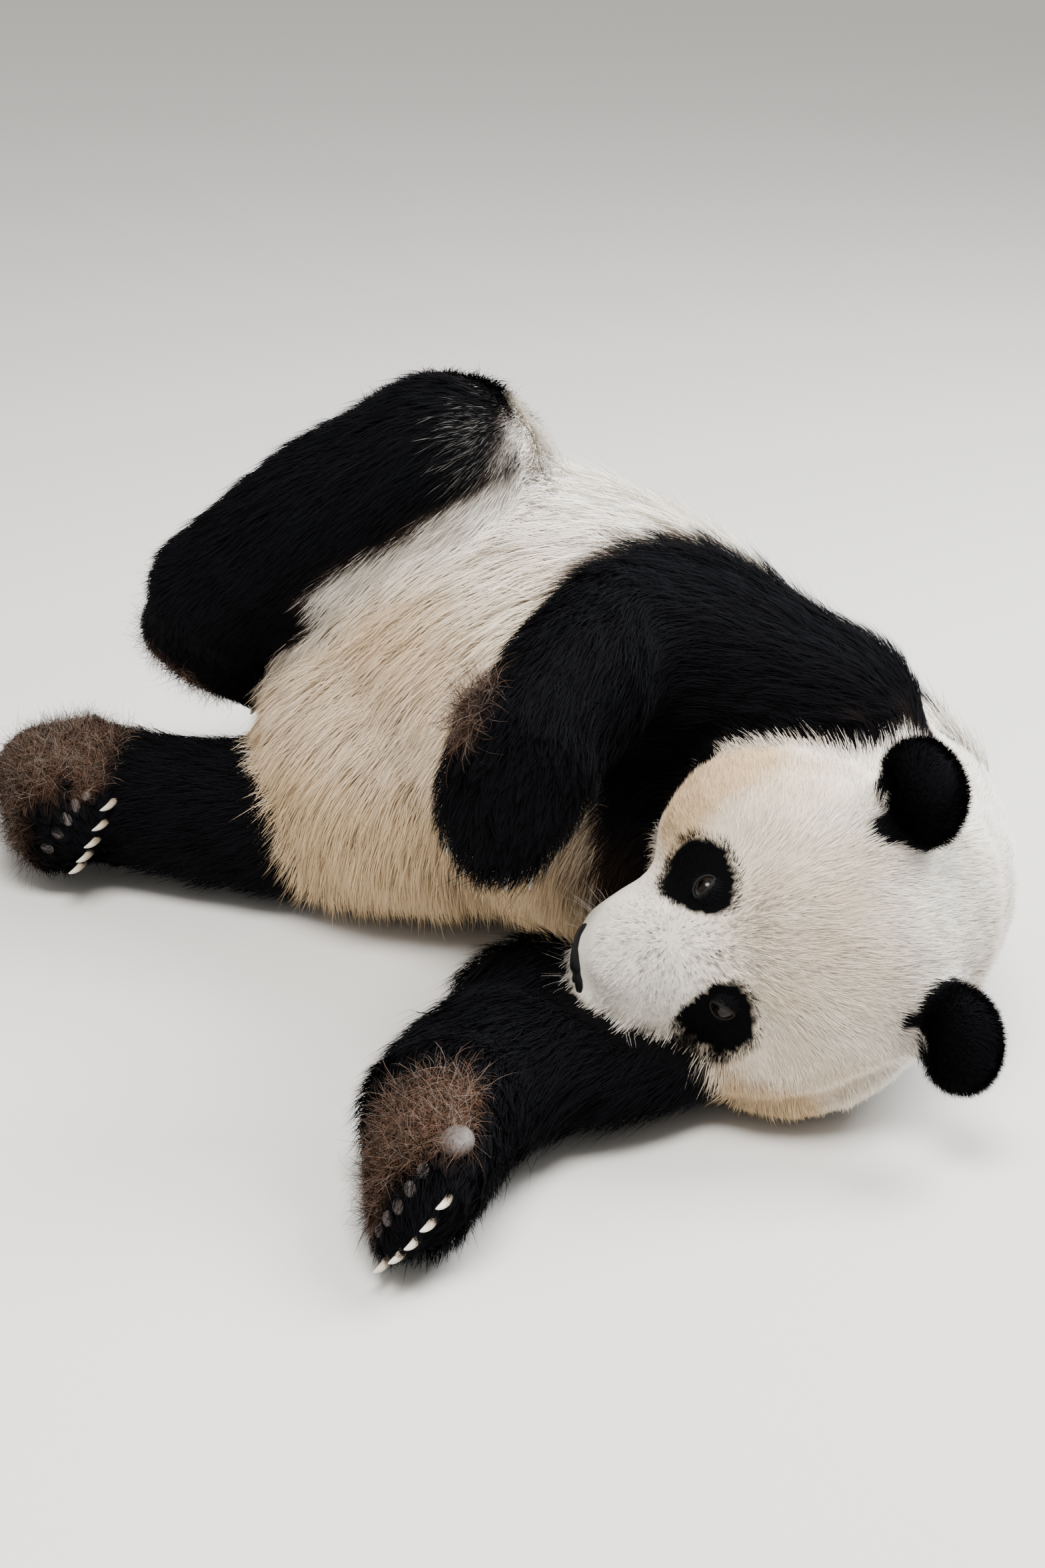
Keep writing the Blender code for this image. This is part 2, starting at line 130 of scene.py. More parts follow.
# Toes: middle of the row, the way they point, the way the palm or sole faces, half the row.
PAWS = {
    "forepaw_right": ((-0.166, -0.193, 0.234), (-0.1, -0.25, -0.95), (-0.55, 0.8, -0.1), 0.038),
    "forepaw_left": ((0.06, -0.4, 0.046), (0.86, -0.51, -0.07), (-0.34, -0.67, 0.65), 0.036),
    "hindfoot_right": ((-0.848, -0.06, 0.184), (-0.54, 0.58, -0.61), (-0.65, -0.74, -0.13), 0.044),
    "hindfoot_left": ((-0.757, -0.286, 0.074), (0.905, -0.424, -0.096), (-0.341, -0.828, 0.446), 0.037),
}
print("stretches of flesh:", len(FLESH))

# %% [markdown]
# ## Shader maths
#
# Node trees read badly as long lists of links, so a small class wraps a socket, and a sum of sockets is written
# as a sum.  Values go through Math nodes and colours through Mix, because a Math node turns a colour grey.

# %% A socket that does arithmetic
def operator(operation, reflected=False):
    """What a Wire does for + - * or **: it adds one Math node."""
    return lambda wire, other: wire.math(operation, *((other, wire) if reflected else (wire, other)))


class Wire:
    """An output socket in a node tree, with arithmetic."""

    def __init__(self, tree, socket=None):
        self.tree = tree
        self.socket = socket

    def node(self, kind, settings=(), output=0, **values):
        """Add a node: its settings first, then its sockets by name or by _number."""
        made = self.tree.nodes.new("ShaderNode" + kind)
        for name, value in dict(settings).items():
            if name != "stops":
                setattr(made, name, value)
                continue
            stops = made.color_ramp.elements
            while len(stops) < len(value):
                stops.new(0.5)
            for stop, (position, colour) in zip(stops, value):
                stop.position = position
                stop.color = (*colour, 1.0)
        for name, value in values.items():
            socket = made.inputs[int(name[1:]) if name[1:].isdigit() else name.replace("_", " ").title()]
            if isinstance(value, Wire):
                self.tree.links.new(value.socket, socket)
            else:
                socket.default_value = value
        return Wire(self.tree, made.outputs[output])

    def math(self, operation, *values, clamp=False):
        sockets = {f"_{i}": value for i, value in enumerate(values)}
        return self.node("Math", {"operation": operation, "use_clamp": clamp}, **sockets)

    __add__ = __radd__ = operator("ADD")
    __sub__, __rsub__ = operator("SUBTRACT"), operator("SUBTRACT", reflected=True)
    __mul__ = __rmul__ = operator("MULTIPLY")
    __pow__ = operator("POWER")

    def clamped(self):
        return self.math("ADD", self, 0.0, clamp=True)

    def blend(self, first, second):
        """Mix two colours by this value."""
        sides = [(*c, 1.0) if isinstance(c, tuple) else c for c in (first, second)]
        return self.node("Mix", {"data_type": "RGBA"}, 2, _0=self, _6=sides[0], _7=sides[1])

    def other(self, index):
        """Another output of the same node."""
        return Wire(self.tree, self.socket.node.outputs[index])

    def painted(self, name, output=2):
        """What is painted on the mesh's points under this name."""
        return self.node("Attribute", {"attribute_name": name}, output)

    def bump(self, strength, distance):
        return self.node("Bump", height=self, strength=strength, distance=distance)


def start_material(name, **constants):
    """A material, a wire to grow its tree from, and its shader node with constant values set."""
    material = bpy.data.materials.new(name)
    material.use_nodes = True
    shader = material.node_tree.nodes["Principled BSDF"]
    for key, value in constants.items():
        shader.inputs[key.replace("_", " ").title().replace("Ior", "IOR")].default_value = value
    return material, Wire(material.node_tree), shader


def feed(shader, **wires):
    for name, wire in wires.items():
        wire.tree.links.new(wire.socket, shader.inputs[name.replace("_", " ").title()])


print("shader maths ready")

# %% [markdown]
# ## The skin
#
# The skin is one closed surface with no seams.  The solids are joined, and a voxel remesh melts them into one
# even mesh and closes the cuts at the joints.  Each point then learns from the nearest solid which stretch of
# flesh it came from, and that knowledge is spread over the mesh until it blends.

# %% Melt the solids into one mesh
GRAIN = 0.0052  # the voxel of the remesh


def placed(name, data):
    made = bpy.data.objects.new(name, data)
    bpy.context.scene.collection.objects.link(made)
    return made


def new_object(name, bm):
    mesh = bpy.data.meshes.new(name)
    bm.to_mesh(mesh)
    bm.free()
    return placed(name, mesh)


solids = bmesh.new()
owner = []  # of each face: the stretch of flesh it belongs to
for node in FLESH + ["eye_right", "eye_left", "nose"]:
    before = len(solids.faces)
    solids.from_mesh(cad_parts[node].data)
    owner += [FLESH.index(node) if node in FLESH else 0] * (len(solids.faces) - before)
solids.faces.ensure_lookup_table()
nearest_solid = BVHTree.FromBMesh(solids)
skin = new_object("skin", solids)
melt = skin.modifiers.new("melt", "REMESH")
melt.mode = "VOXEL"
melt.voxel_size = GRAIN
bpy.context.view_layer.update()
melted = bpy.data.meshes.new_from_object(skin.evaluated_get(bpy.context.evaluated_depsgraph_get()))
skin.modifiers.clear()
skin.data = melted
print("skin points:", len(skin.data.vertices))

# %% Read the mesh into arrays
def read(rows, field, width, kind=np.float32):
    values = np.empty(len(rows) * width, kind)
    rows.foreach_get(field, values)
    return values.reshape(-1, width).astype(float if kind is np.float32 else kind)


def store(rows, field, values, kind=np.float32):
    rows.foreach_set(field, np.asarray(values, kind).ravel())


def norms(vectors):
    return np.linalg.norm(vectors, axis=1)


place = read(skin.data.vertices, "co", 3)
edges = read(skin.data.edges, "vertices", 2, np.int32)
degree = np.bincount(edges.ravel(), minlength=len(place)).astype(float)


def neighbours(values):
    """The mean of each point's neighbours."""
    one, two = edges.T
    return np.stack([np.bincount(one, column[two], len(place)) + np.bincount(two, column[one], len(place))
                     for column in values.T], 1) / degree[:, None]


def spread(values, rounds, share=0.5):
    """Even a value out over the mesh."""
    for _ in range(rounds):
        values = values + (neighbours(values) - values) * share
    return values


stretch = np.array(owner)[[nearest_solid.find_nearest(Vector(p))[2] for p in place]]
belongs = spread(np.eye(len(FLESH))[stretch], 24)
belongs /= belongs.sum(axis=1, keepdims=True)


def share_of(*nodes):
    return belongs[:, [FLESH.index(node) for node in nodes]].sum(axis=1)


print("points on the head:", int((stretch == 0).sum()))

# %% [markdown]
# ## Smoothing and sinking
#
# The solids are faceted, so the skin is evened out, less on the face than on the body.  Then it sinks by the
# depth of the coat: a millimetre or two on the muzzle, and nearly two centimetres on the flank.

# %% Sink the skin by the depth of the coat
def step(edge_low, edge_high, value):
    t = np.clip((value - edge_low) / (edge_high - edge_low), 0.0, 1.0)
    return t * t * (3 - 2 * t)


def bump_at(points, centre, radius):
    """A soft hill, 1 at the centre and 0 from the radius outward."""
    return step(1.0, 0.0, norms(np.subtract(points, centre) / np.array(radius)))


def near_line(points, start, end):
    """Distance from the straight line between two places."""
    start, way = np.array(start), np.array(end) - np.array(start)
    share = np.clip((points - start) @ way / (way @ way), 0, 1)
    return norms(points - start - share[:, None] * way)


def far_from(centre):
    return norms(np.subtract(place, centre))


def outward_ways(rounds):
    """The skin's normals, evened out over the mesh."""
    store(skin.data.vertices, "co", place)
    skin.data.update()
    return unit(spread(read(skin.data.vertex_normals, "vector", 3), rounds))


soft = 0.14 + 0.36 * (1 - np.clip(share_of(*HEAD) * 1.3, 0, 1))
for _ in range(20):
    place = place + (neighbours(place) - place) * soft[:, None]

face_f, face_u, face_r = from_skull(place).T
on_head = share_of("head")
on_ears = share_of("ear_right", "ear_left")
muzzle = step(0.1, 0.14, face_f + 0.25 * np.abs(face_u)) * step(0.3, 0.8, on_head)
depth = belongs @ np.array([COAT[node][0] for node in FLESH]) * (1 - 0.7 * muzzle)
for centre in EYES.values():
    depth *= 0.45 + 0.55 * step(0.018, 0.045, far_from(centre))
place = place - outward_ways(6) * depth[:, None]
place = place + (neighbours(place) - place) * 0.3
print("coat depth, mm:", rounded((depth.min() * 1000, depth.max() * 1000), 1))

# %% [markdown]
# ## Folds of the head
#
# The mouth of a panda is a dark line under the muzzle that runs back toward the cheeks, with a cleft up to the
# nose.  The skin is pressed in along these lines, and behind the jaw and under the ears, where it folds.

# %% Press in the mouth, the cleft and the folds
LIP_MIDDLE = (0.172, -0.082, -0.003)
MOUTH = [((0.15, -0.087, 0.024), (0.104, -0.08, 0.058)), ((0.15, -0.087, -0.03), (0.104, -0.08, -0.062)),
         (LIP_MIDDLE, (0.15, -0.087, 0.024)), (LIP_MIDDLE, (0.15, -0.087, -0.03))]
CLEFT = ((0.186, -0.056, -0.003), LIP_MIDDLE)
head_place = from_skull(place)
mouth_gap = np.min([near_line(head_place, *line) for line in MOUTH], axis=0)
press = 0.0045 * step(0.01, 0.001, mouth_gap) + 0.0022 * step(0.006, 0.0008, near_line(head_place, *CLEFT))
for side, fold in zip(SIDES, (0.002, 0.008)):  # the jaw that the head rests on folds deeper
    jaw = [(0.078, 0.0, 0.134 * side), (0.045, 0.044, 0.14 * side), (-0.042, 0.076, 0.122 * side)]
    jaw_fold = np.minimum(near_line(head_place, *jaw[:2]), near_line(head_place, *jaw[1:]))
    ear_fold = near_line(head_place, (-0.03, 0.092, 0.12 * side), (-0.052, 0.108, 0.08 * side))
    press = press + fold * step(0.016, 0.002, jaw_fold) + 0.004 * step(0.014, 0.002, ear_fold) \
        - 0.004 * bump_at(head_place, (0.112, 0.04, 0.07 * side), (0.04, 0.03, 0.03))
place = place - outward_ways(3) * (press * step(0.2, 0.6, share_of(*HEAD)))[:, None]
outward = outward_ways(2)
head_place = from_skull(place)
face_f, face_u, face_r = head_place.T
cheek_place = np.subtract(place, CHEEK)
print("deepest fold, m:", rounded([press.max()], 4))

# %% [markdown]
# ## Markings
#
# A giant panda is cream with black ears, eye patches, legs and a black yoke over the shoulders.  Each marking
# is a field from 0 to 1 over the skin, worked out from the flesh a point belongs to and from where it lies.
# The skin and every tuft read the same fields, so the colours always agree.

# %% Fields of black
def ripple(points, size, seed):
    """A smooth uneven field between about -1 and 1, with humps of the given size."""
    turn = np.random.default_rng(seed)
    total = np.zeros(len(points))
    for _ in range(5):
        way = turn.normal(size=3)
        way /= np.linalg.norm(way)
        total += np.sin(points @ way * (2 * math.pi / size) * turn.uniform(0.7, 1.4) + turn.uniform(0, 6.28))
    return total / 2.6


def down_thigh(side, way, size):
    """How far a point lies down the thigh, as a share of its length."""
    return np.subtract(cheek_place, COAT["thigh_" + side][2]) @ np.array(way) / size + uneven * 2


def core(*nodes):
    """1 well inside these stretches of flesh and 0 outside them."""
    return step(0.4, 0.6, share_of(*nodes))


def on_face(centre, radius):
    return bump_at(head_place, centre, radius)


def on_body(centre, radius):
    return bump_at(cheek_place, centre, radius)


def face_line(start, end):
    return near_line(head_place, start, end)


x, y, z = cheek_place.T  # x runs from the rump to the head, y from the belly to the back, z up
uneven = ripple(place, 0.045, 1) * 0.009 + ripple(place, 0.13, 2) * 0.008
ventral = step(0.06, -0.06, y) * step(0.4, 0.24, z)
yoke_back = -0.412 + 0.03 * step(0.07, 0.03, y) + 0.16 * ventral
nape = step(0.19, 0.212, y) * step(0.338, 0.312, z)
yoke_front = -0.062 + 0.2 * step(0.062, 0.03, y) - 0.08 * nape
behind_front = step(0.01, -0.01, x + uneven * 0.6 - yoke_front)
yoke = step(-0.01, 0.01, x + uneven - yoke_back) * behind_front
knee_side = 0.8 * x + 0.6 * y + uneven * 0.7
knee_line = -0.392 - 1.4 * np.clip(0.447 - z, 0, 0.12) - 0.05 * step(0.06, 0.11, y)
right_leg = step(0.02, -0.02, knee_side - knee_line)
arms = share_of(*FORELEGS)
not_head = 1 - step(0.25, 0.6, share_of(*HEAD, "tail"))
under_arm = step(-0.012, -0.03, face_u) * step(0.1, 0.118, face_r) * step(0.095, 0.07, face_f)
under_arm = under_arm * step(0.25, 0.5, share_of("head", "neck"))
black = np.max([
    yoke * not_head, under_arm, step(0.35, 0.65, arms) * behind_front,
    core("forearm_left", "forepaw_left", "forearm_right", "forepaw_right"),
    core("shank_right", "hindfoot_right") * right_leg, core("shank_left", "hindfoot_left"),
    core("thigh_right") * right_leg * step(0.3, 0.5, down_thigh("right", (0.846, -0.398, 0.471), 0.32)),
    core("thigh_left") * step(0.35, 0.55, down_thigh("left", (0.62, -0.78, -0.11), 0.31)),
    step(0.32, 0.48, on_ears)], axis=0)
for side, lobe_out in zip(SIDES, (0.077, 0.088)):
    lobe = on_face((-0.037, 0.119, lobe_out * side), (0.024, 0.022, 0.026))
    opening = face_line((-0.03, 0.094, 0.116 * side), (-0.052, 0.108, 0.095 * side))
    black = np.maximum(black, step(0.15, 0.45, lobe)) \
        * step(0.0065, 0.0105, opening + ripple(place, 0.02, 9) * 0.0015)


def eye_patches(points, middle, edge):
    """Two rounded beans that droop outward from the eyes toward the cheeks."""
    found = []
    for side in SIDES:
        long_way = np.array([-0.245, 0.891, -0.379 * side])
        gaze = np.array(GAZE) * (1, 1, side)
        short_way = np.cross(long_way, gaze)
        rest = np.subtract(points, (0.1005, 0.042, 0.055 * side))
        bend = 0.006 * (1 - (rest @ long_way / 0.044) ** 2)
        reach = np.sqrt((rest @ long_way / 0.0435) ** 2 + ((rest @ short_way + bend * side) / 0.03) ** 2
                        + (rest @ gaze / 0.05) ** 2)
        found.append(step(middle + edge, middle - edge, reach + ripple(points, 0.02, 3) * 0.03))
    return np.maximum(*found)


# A dark patch on the chest between the arm and the head, part black and part brown, is painted shade.
chest_shade = on_body((-0.215, -0.055, 0.155), 0.095) * not_head
unpatched = np.maximum(black, 0.68 * chest_shade)
patches = eye_patches(head_place, 0.985, 0.11) * step(0.3, 0.6, on_head)
black = np.maximum(unpatched, patches)
print("share of the skin that is black:", rounded([black.mean()]))

# %% [markdown]
# ## Brown, tan and grizzle
#
# Cream hair is stained tan on the belly, the cheeks and behind the jaw, and the deeper tan low on the belly is
# painted shade.  The soles are a rusty brown, and the black of the raised knee is sprinkled with pale hairs
# before it turns to white.

# %% Fields of brown and tan
# Each sole: its middle, how far its hair reaches, and how squarely the skin there must face.
SOLES = {
    "forepaw_right": ((-0.172, -0.15, 0.25), 0.085, 0.42), "forepaw_left": ((0.005, -0.365, 0.085), 0.09, 0.3),
    "hindfoot_right": ((-0.815, -0.12, 0.215), 0.11, 0.35),
    "hindfoot_left": ((-0.87, -0.285, 0.085), 0.125, 0.12),
}
palms = np.zeros(len(place))
for paw, (toes, forward, palm, _) in PAWS.items():
    sole, reach, wide = SOLES[paw]
    limb = share_of(paw, paw.replace("hindfoot", "shank").replace("forepaw", "forearm"))
    faces_palm = outward @ unit(palm) + 0.1 * ripple(place, 0.03, 12)
    past_toes = np.subtract(cheek_place, toes) @ unit(forward) + uneven * 0.6
    palms = np.maximum(palms, step(wide, wide + 0.25, faces_palm) * step(0.3, 0.6, limb)
                       * step(0.02, 0.2, on_body(sole, reach)) * step(-0.026, -0.052, past_toes))
wrist = on_body((-0.176, -0.213, 0.364), 0.04) * arms
seam = 4 * black * (1 - black) * not_head
# The brown on the chest is painted shade.
brown = np.clip(palms + wrist * 1.1 + 0.22 * seam + 0.25 * chest_shade, 0, 1)
on_knee = on_body((-0.53, 0.035, 0.49), 0.095)
grizzle = on_body((-0.545, 0.02, 0.47), (0.045, 0.055, 0.065)) * step(0.4, 0.6, black)
# Tan on the belly is the coat's own stain; it grows deeper low on the belly, which is painted shade.
belly_stain_and_shade = step(0.2, 0.0, y) * step(0.46, 0.3, z) * share_of("trunk") * (0.62 + 0.5 * step(0.24, 0.08, z))
cheeks = step(0.085, 0.13, np.abs(face_r)) * on_head * step(-0.1, 0.0, face_f)
jaw = step(0.05, 0.015, face_line((0.092, -0.02, -0.105), (0.05, 0.02, -0.14))) * on_head
cheek_rim = step(0.052, 0.012, face_line((0.095, 0.005, 0.105), (0.04, 0.035, 0.15))) * on_head
brow = on_face((0.03, 0.12, 0.0), (0.09, 0.08, 0.1)) * on_head
tan = np.clip((1.05 + 0.3 * step(-0.45, -0.6, x)) * belly_stain_and_shade + 0.18 * cheeks + 0.7 * jaw + 0.6 * cheek_rim
              + 0.12 * brow + 0.1 * ripple(place, 0.16, 4) + 0.07 * ripple(place, 0.05, 14) + 0.06
              + 0.44 * on_head * step(-0.1, 0.06, face_f), 0, 1)
# The muzzle has less tan; the top of the trunk and the right thigh have less tan as painted light.
tan = tan * (1 - 0.8 * muzzle) * (1 - 0.8 * step(0.35, 0.47, z) * share_of("trunk", "thigh_right"))
print("share of the skin that is brown:", rounded([brown.mean()]))

# %% [markdown]
# ## Which way the hair lies
#
# Over the trunk hair runs back and round from the spine to the belly; on a limb it follows the bone; on the
# face it fans out from a whorl on the bridge of the nose.  The raw directions are laid flat on the skin and
# averaged with their neighbours, so that one area flows into the next.

# %% The flow over the skin
def laid_flat(vectors, normal):
    return unit(vectors - normal * np.sum(vectors * normal, axis=1, keepdims=True))


flow = np.zeros_like(place)
for node, (_, _, *line) in COAT.items():
    if line and node not in ("trunk", "hindfoot_left", "hindfoot_right"):
        flow += share_of(node)[:, None] * (unit(np.subtract(line[1], line[0])) + np.array([0, 0, -0.18]))
for paw, (_, forward, _, _) in PAWS.items():
    flow += share_of(paw)[:, None] * unit(forward) * (0.5 if paw == "forepaw_left" else 1.0)
turned = np.arctan2(z - 0.19, y - 0.14)  # about the middle of the trunk
turned = np.where(turned < -0.62 * math.pi, turned + 2 * math.pi, turned)
side_of_spine = step(-0.1, 0.12, turned) * 2 - 1
round_body = np.stack([np.zeros_like(x), -np.sin(turned), np.cos(turned)], 1) * side_of_spine[:, None]
flow += share_of("trunk")[:, None] * (round_body * 0.85 + np.array([-0.42, 0.0, -0.05]))

WHORL = (0.131, 0.05, 0.013)
fan = unit(np.subtract(head_place, WHORL))
outer = step(0.045, 0.12, np.abs(face_r))
fan[:, 2] += np.sign(face_r) * outer * 0.9
fan[:, 1] -= outer * 0.55 * step(0.13, 0.02, face_u)
fan[:, 0] += outer * 0.25 - 0.25 * step(0.02, -0.08, face_f)
flow += on_head[:, None] * (fan @ HEAD_AXES)
for side, word in SIDES.items():
    ear_root = (-0.06, 0.085, 0.078 * side)
    flow += share_of("ear_" + word)[:, None] * (unit(np.subtract(head_place, ear_root)) @ HEAD_AXES) * 1.6
flow = laid_flat(flow, outward)
for _ in range(8):
    flow = laid_flat(spread(flow, 2), outward)
print("flow laid over", len(flow), "points")

# %% [markdown]
# ## How long, how thick, how raised
#
# Every point also gets the length of its hair, how far it stands off the skin, how wide a tuft is and how many
# tufts grow there.

# %% Length, lift, width and number of tufts
ruff = step(0.0, -0.12, face_f) * on_head
lower_jaw = np.maximum(step(0.0, -0.03, face_u), 0.3 * step(0.02, 0.06, np.abs(face_r)))
lower_jaw = lower_jaw * step(0.04, 0.09, face_f) * on_head
length = belongs @ np.array([COAT[node][1] for node in FLESH])
length = length * (1 + 0.08 * ruff + 0.05 * cheeks) * (1 - 0.72 * lower_jaw) * (1 - 0.5 * muzzle) \
    * (1 - 0.35 * palms) * (1 - 0.3 * patches)
length = np.where(under_arm > 0.1, np.minimum(length, 0.014), length) * (1 - 0.62 * on_knee)
length = np.where(share_of("neck") > 0.2, np.minimum(length, 0.015 + 0.006 * black), length)
nape_edge = on_body((-0.09, 0.205, 0.285), 0.08)
near_eye = np.minimum(*(far_from(centre) for centre in EYES.values()))
length = length * (1 - 0.55 * nape_edge) * (0.34 + 0.66 * step(0.012, 0.045, near_eye)) \
    * (1 + 0.16 * ripple(place, 0.05, 5))
lift = 0.42 + 0.16 * step(0.02, 0.0, length) + 0.1 * ripple(place, 0.03, 6) + 0.5 * step(0.4, 0.8, on_ears)
ragged = step(0.4, 0.8, share_of("forepaw_right", "forepaw_left", "hindfoot_left", "hindfoot_right"))
ragged = ragged * (1 - palms)
hanging = on_body((-0.166, -0.195, 0.24), 0.075) * share_of("forepaw_right")
length = length * (1 + 0.55 * hanging)
lift = lift + 0.12 * ruff + 0.4 * palms + 0.15 * wrist + 0.12 * ragged \
    - 0.1 * on_head - 0.16 * lower_jaw - 0.2 * nape_edge
width = np.interp(length, [0.004, 0.012, 0.02, 0.045], [0.00037, 0.00043, 0.0006, 0.00076])
texture = 0.16 + 1.05 * np.clip(on_head + 0.5 * black, 0, 1)
whorl_near = on_face((0.085, 0.065, 0.008), (0.135, 0.11, 0.1))
speckle = on_head * (0.22 + 0.9 * whorl_near + 0.55 * muzzle) * (1 - black)
under = step(-0.75, -0.95, outward[:, 2]) * step(0.05, 0.03, z)  # pressed against the floor
NOSE_PAD = (0.174, -0.04, -0.011), (0.0165, 0.0115, 0.037)  # its middle and half its size: no hair grows there
on_nose = norms(np.subtract(head_place, NOSE_PAD[0]) / np.array(NOSE_PAD[1]))
number = np.interp(length, [0.004, 0.007, 0.013, 0.022, 0.045], [1150e3, 1050e3, 820e3, 360e3, 165e3])
number = number * (1 + 0.9 * step(0.4, 0.8, on_ears)) * (1 + 0.12 * share_of("trunk")) * (1 + 0.6 * patches) \
    * (1 - 0.8 * under) * step(0.0105, 0.014, near_eye) * step(0.93, 1.0, on_nose)
print("length, mm:", rounded((length.min() * 1000, length.max() * 1000), 1))

# %% [markdown]
# ## An unwrap of the skin
#
# The coat's colours are stored by where each tuft is rooted, so the skin is unwrapped into flat charts, and
# each tuft later takes a tiny patch of the chart under its root.

# %% Unwrap the skin
bpy.context.view_layer.objects.active = skin
skin.select_set(True)
store(skin.data.vertices, "co", place)
skin.data.update()
bpy.ops.object.mode_set(mode="EDIT")
bpy.ops.mesh.select_all(action="SELECT")
bpy.ops.uv.smart_project(angle_limit=math.radians(66), island_margin=0.001)
bpy.ops.object.mode_set(mode="OBJECT")
skin.data.uv_layers[0].name = "OFBake"
store(skin.data.polygons, "use_smooth", np.ones(len(skin.data.polygons)), bool)
skin.data.calc_loop_triangles()
corners = read(skin.data.loop_triangles, "vertices", 3, np.int32)
loops = read(skin.data.loop_triangles, "loops", 3, np.int32)
chart = read(skin.data.uv_layers["OFBake"].data, "uv", 2)
print("skin triangles:", len(corners))

# %% [markdown]
# ## Roots
#
# Roots are strewn over the skin's triangles, more of them where the hair is short.  A root knows its triangle
# and its place in it, so it can read any field of the skin, and the chart as well.

# %% Scatter the roots
first, second, third = (place[corners[:, i]] for i in range(3))
areas = norms(np.cross(second - first, third - first)) / 2
MOST_TUFTS = 438_000
THIN_OUT = 1
WIDEN = math.sqrt(THIN_OUT)


class Roots:
    """Places on the skin, with a way to read the skin's fields at each."""

    def __init__(self, count, crowd):
        ticks = (np.arange(count) + rng.random(count)) / count * crowd.sum()
        self.chosen = np.searchsorted(np.cumsum(crowd), ticks).clip(0, len(corners) - 1)
        a, b = rng.random(count), rng.random(count)
        flip = a + b > 1
        a[flip], b[flip] = 1 - a[flip], 1 - b[flip]
        self.weight = np.stack([1 - a - b, a, b], 1)

    def read(self, values, which=corners):
        return np.einsum("nk,nk...->n...", self.weight, values[which[self.chosen]])

    def chart(self):
        return self.read(chart, loops)


crowd = areas * number[corners].mean(axis=1)
total = int(min(crowd.sum(), MOST_TUFTS)) // THIN_OUT
roots = Roots(total, crowd)
print("tufts wanted:", int(crowd.sum()), "grown:", total)

# %% [markdown]
# ## Tufts
#
# Each tuft is a thin tapering blade.  It rises from the skin, bends over and points along the flow, and its tip
# leans a little toward a point it shares with its neighbours, as real hair does.  A flat blade would glitter
# like a chip of tin, so it takes most of its shading direction from the skin below it.

# %% Bend every tuft
def gauss(*shape):
    return rng.standard_normal(shape)


def varied(amount, count, low, high):
    """Numbers round 1 that differ by about this amount."""
    return (1 + amount * gauss(count)).clip(low, high)


def turned_by(way, other, angle):
    return way * np.cos(angle)[:, None] + other * np.sin(angle)[:, None]


def ripples(points, size, seed):
    return np.stack([ripple(points, size, seed + i) for i in range(3)], 1)


def lean_together(points, cell, pull):
    """Pull the points of each small clump toward their mean."""
    keys = np.floor((points + ripples(points, cell * 5, 20) * cell * 0.6) / cell).astype(np.int64)
    keys = (keys + 100_000) @ np.array([1, 1_000_000, 1_000_000_000_000])
    group = np.unique(keys, return_inverse=True)[1].ravel()
    count = np.bincount(group)
    centre = np.stack([np.bincount(group, points[:, i]) / count for i in range(3)], 1)
    return points + (centre[group] - points) * pull[:, None]


FLOOR = 0.0004  # no hair goes lower
at = roots.read  # a field of the skin, at the roots
root = at(place)
normal = unit(at(outward))
lie = laid_flat(at(flow), normal)
stray = rng.random(total) < 0.045  # longer, thinner hairs that stand off the coat
hair = at(length) * varied(0.17, total, 0.5, 1.5) * np.where(stray, 1.18, 1.0)
rise = (at(lift) * (1 + 0.25 * gauss(total))).clip(0.1, 1.35) * np.where(stray, 1.35, 1.0)
thick = at(width) * varied(0.2, total, 0.5, 1.6) * WIDEN * np.where(stray, 0.6, 1.0)
swing = 0.11 * ripple(root, 0.045, 7) + 0.07 * ripple(root, 0.016, 8) \
    + (0.12 + 0.6 * at(palms)) * gauss(total)
lie = turned_by(lie, np.cross(normal, lie), swing)
first_way = turned_by(lie, normal, rise)
second_way = turned_by(lie, normal, rise * np.where(at(on_ears) > 0.5, 0.85, 0.42))
fall = np.array([0.0, 0.0, -1.0]) * (0.22 * at(step(0.018, 0.045, length)))[:, None]  # long hair hangs
base = root - normal * 0.001
knee = base + first_way * (hair * 0.45)[:, None]
tip = knee + unit(second_way + fall) * (hair * 0.55)[:, None]
# Slight clumps everywhere, finer ones near the whorl, and ragged locks on the paws.
tip = lean_together(tip, 0.0055, np.interp(hair, [0.018, 0.045], [0.1, 0.09]) * (1 + 1.6 * at(palms)))
tip = lean_together(tip, 0.0034, 0.42 * at(speckle * whorl_near))
tip = lean_together(tip, 0.013, 0.8 * at(ragged))
side_way = unit(np.cross(first_way, normal))
side_way = turned_by(side_way, unit(np.cross(side_way, first_way)), 0.55 * gauss(total))
print("hair length, mm:", rounded(np.percentile(hair, (5, 95)) * 1000, 1))

# %% [markdown]
# ## From arrays to meshes
#
# A spine of three or more points becomes a row of faces: two corners at every point and one at the tip.  The
# corners carry the fields of their root, to colour each tuft as a whole, and how far along the tuft they are,
# because each tuft is coloured darker at the root than at the tip: painted shade deep in the coat.

# %% Ribbons from spines
PATCH = 0.003  # of the chart, for each tuft
KINDS = {1: ("FLOAT", "value"), 3: ("FLOAT_VECTOR", "vector"), 4: ("FLOAT_COLOR", "color")}


def paint(mesh, name, values):
    """Give every point of a mesh its own number, vector or colour."""
    values = np.asarray(values, np.float32)
    kind, field = KINDS[values.size // len(values)]
    store(mesh.attributes.new(name, kind, "POINT").data, field, values)


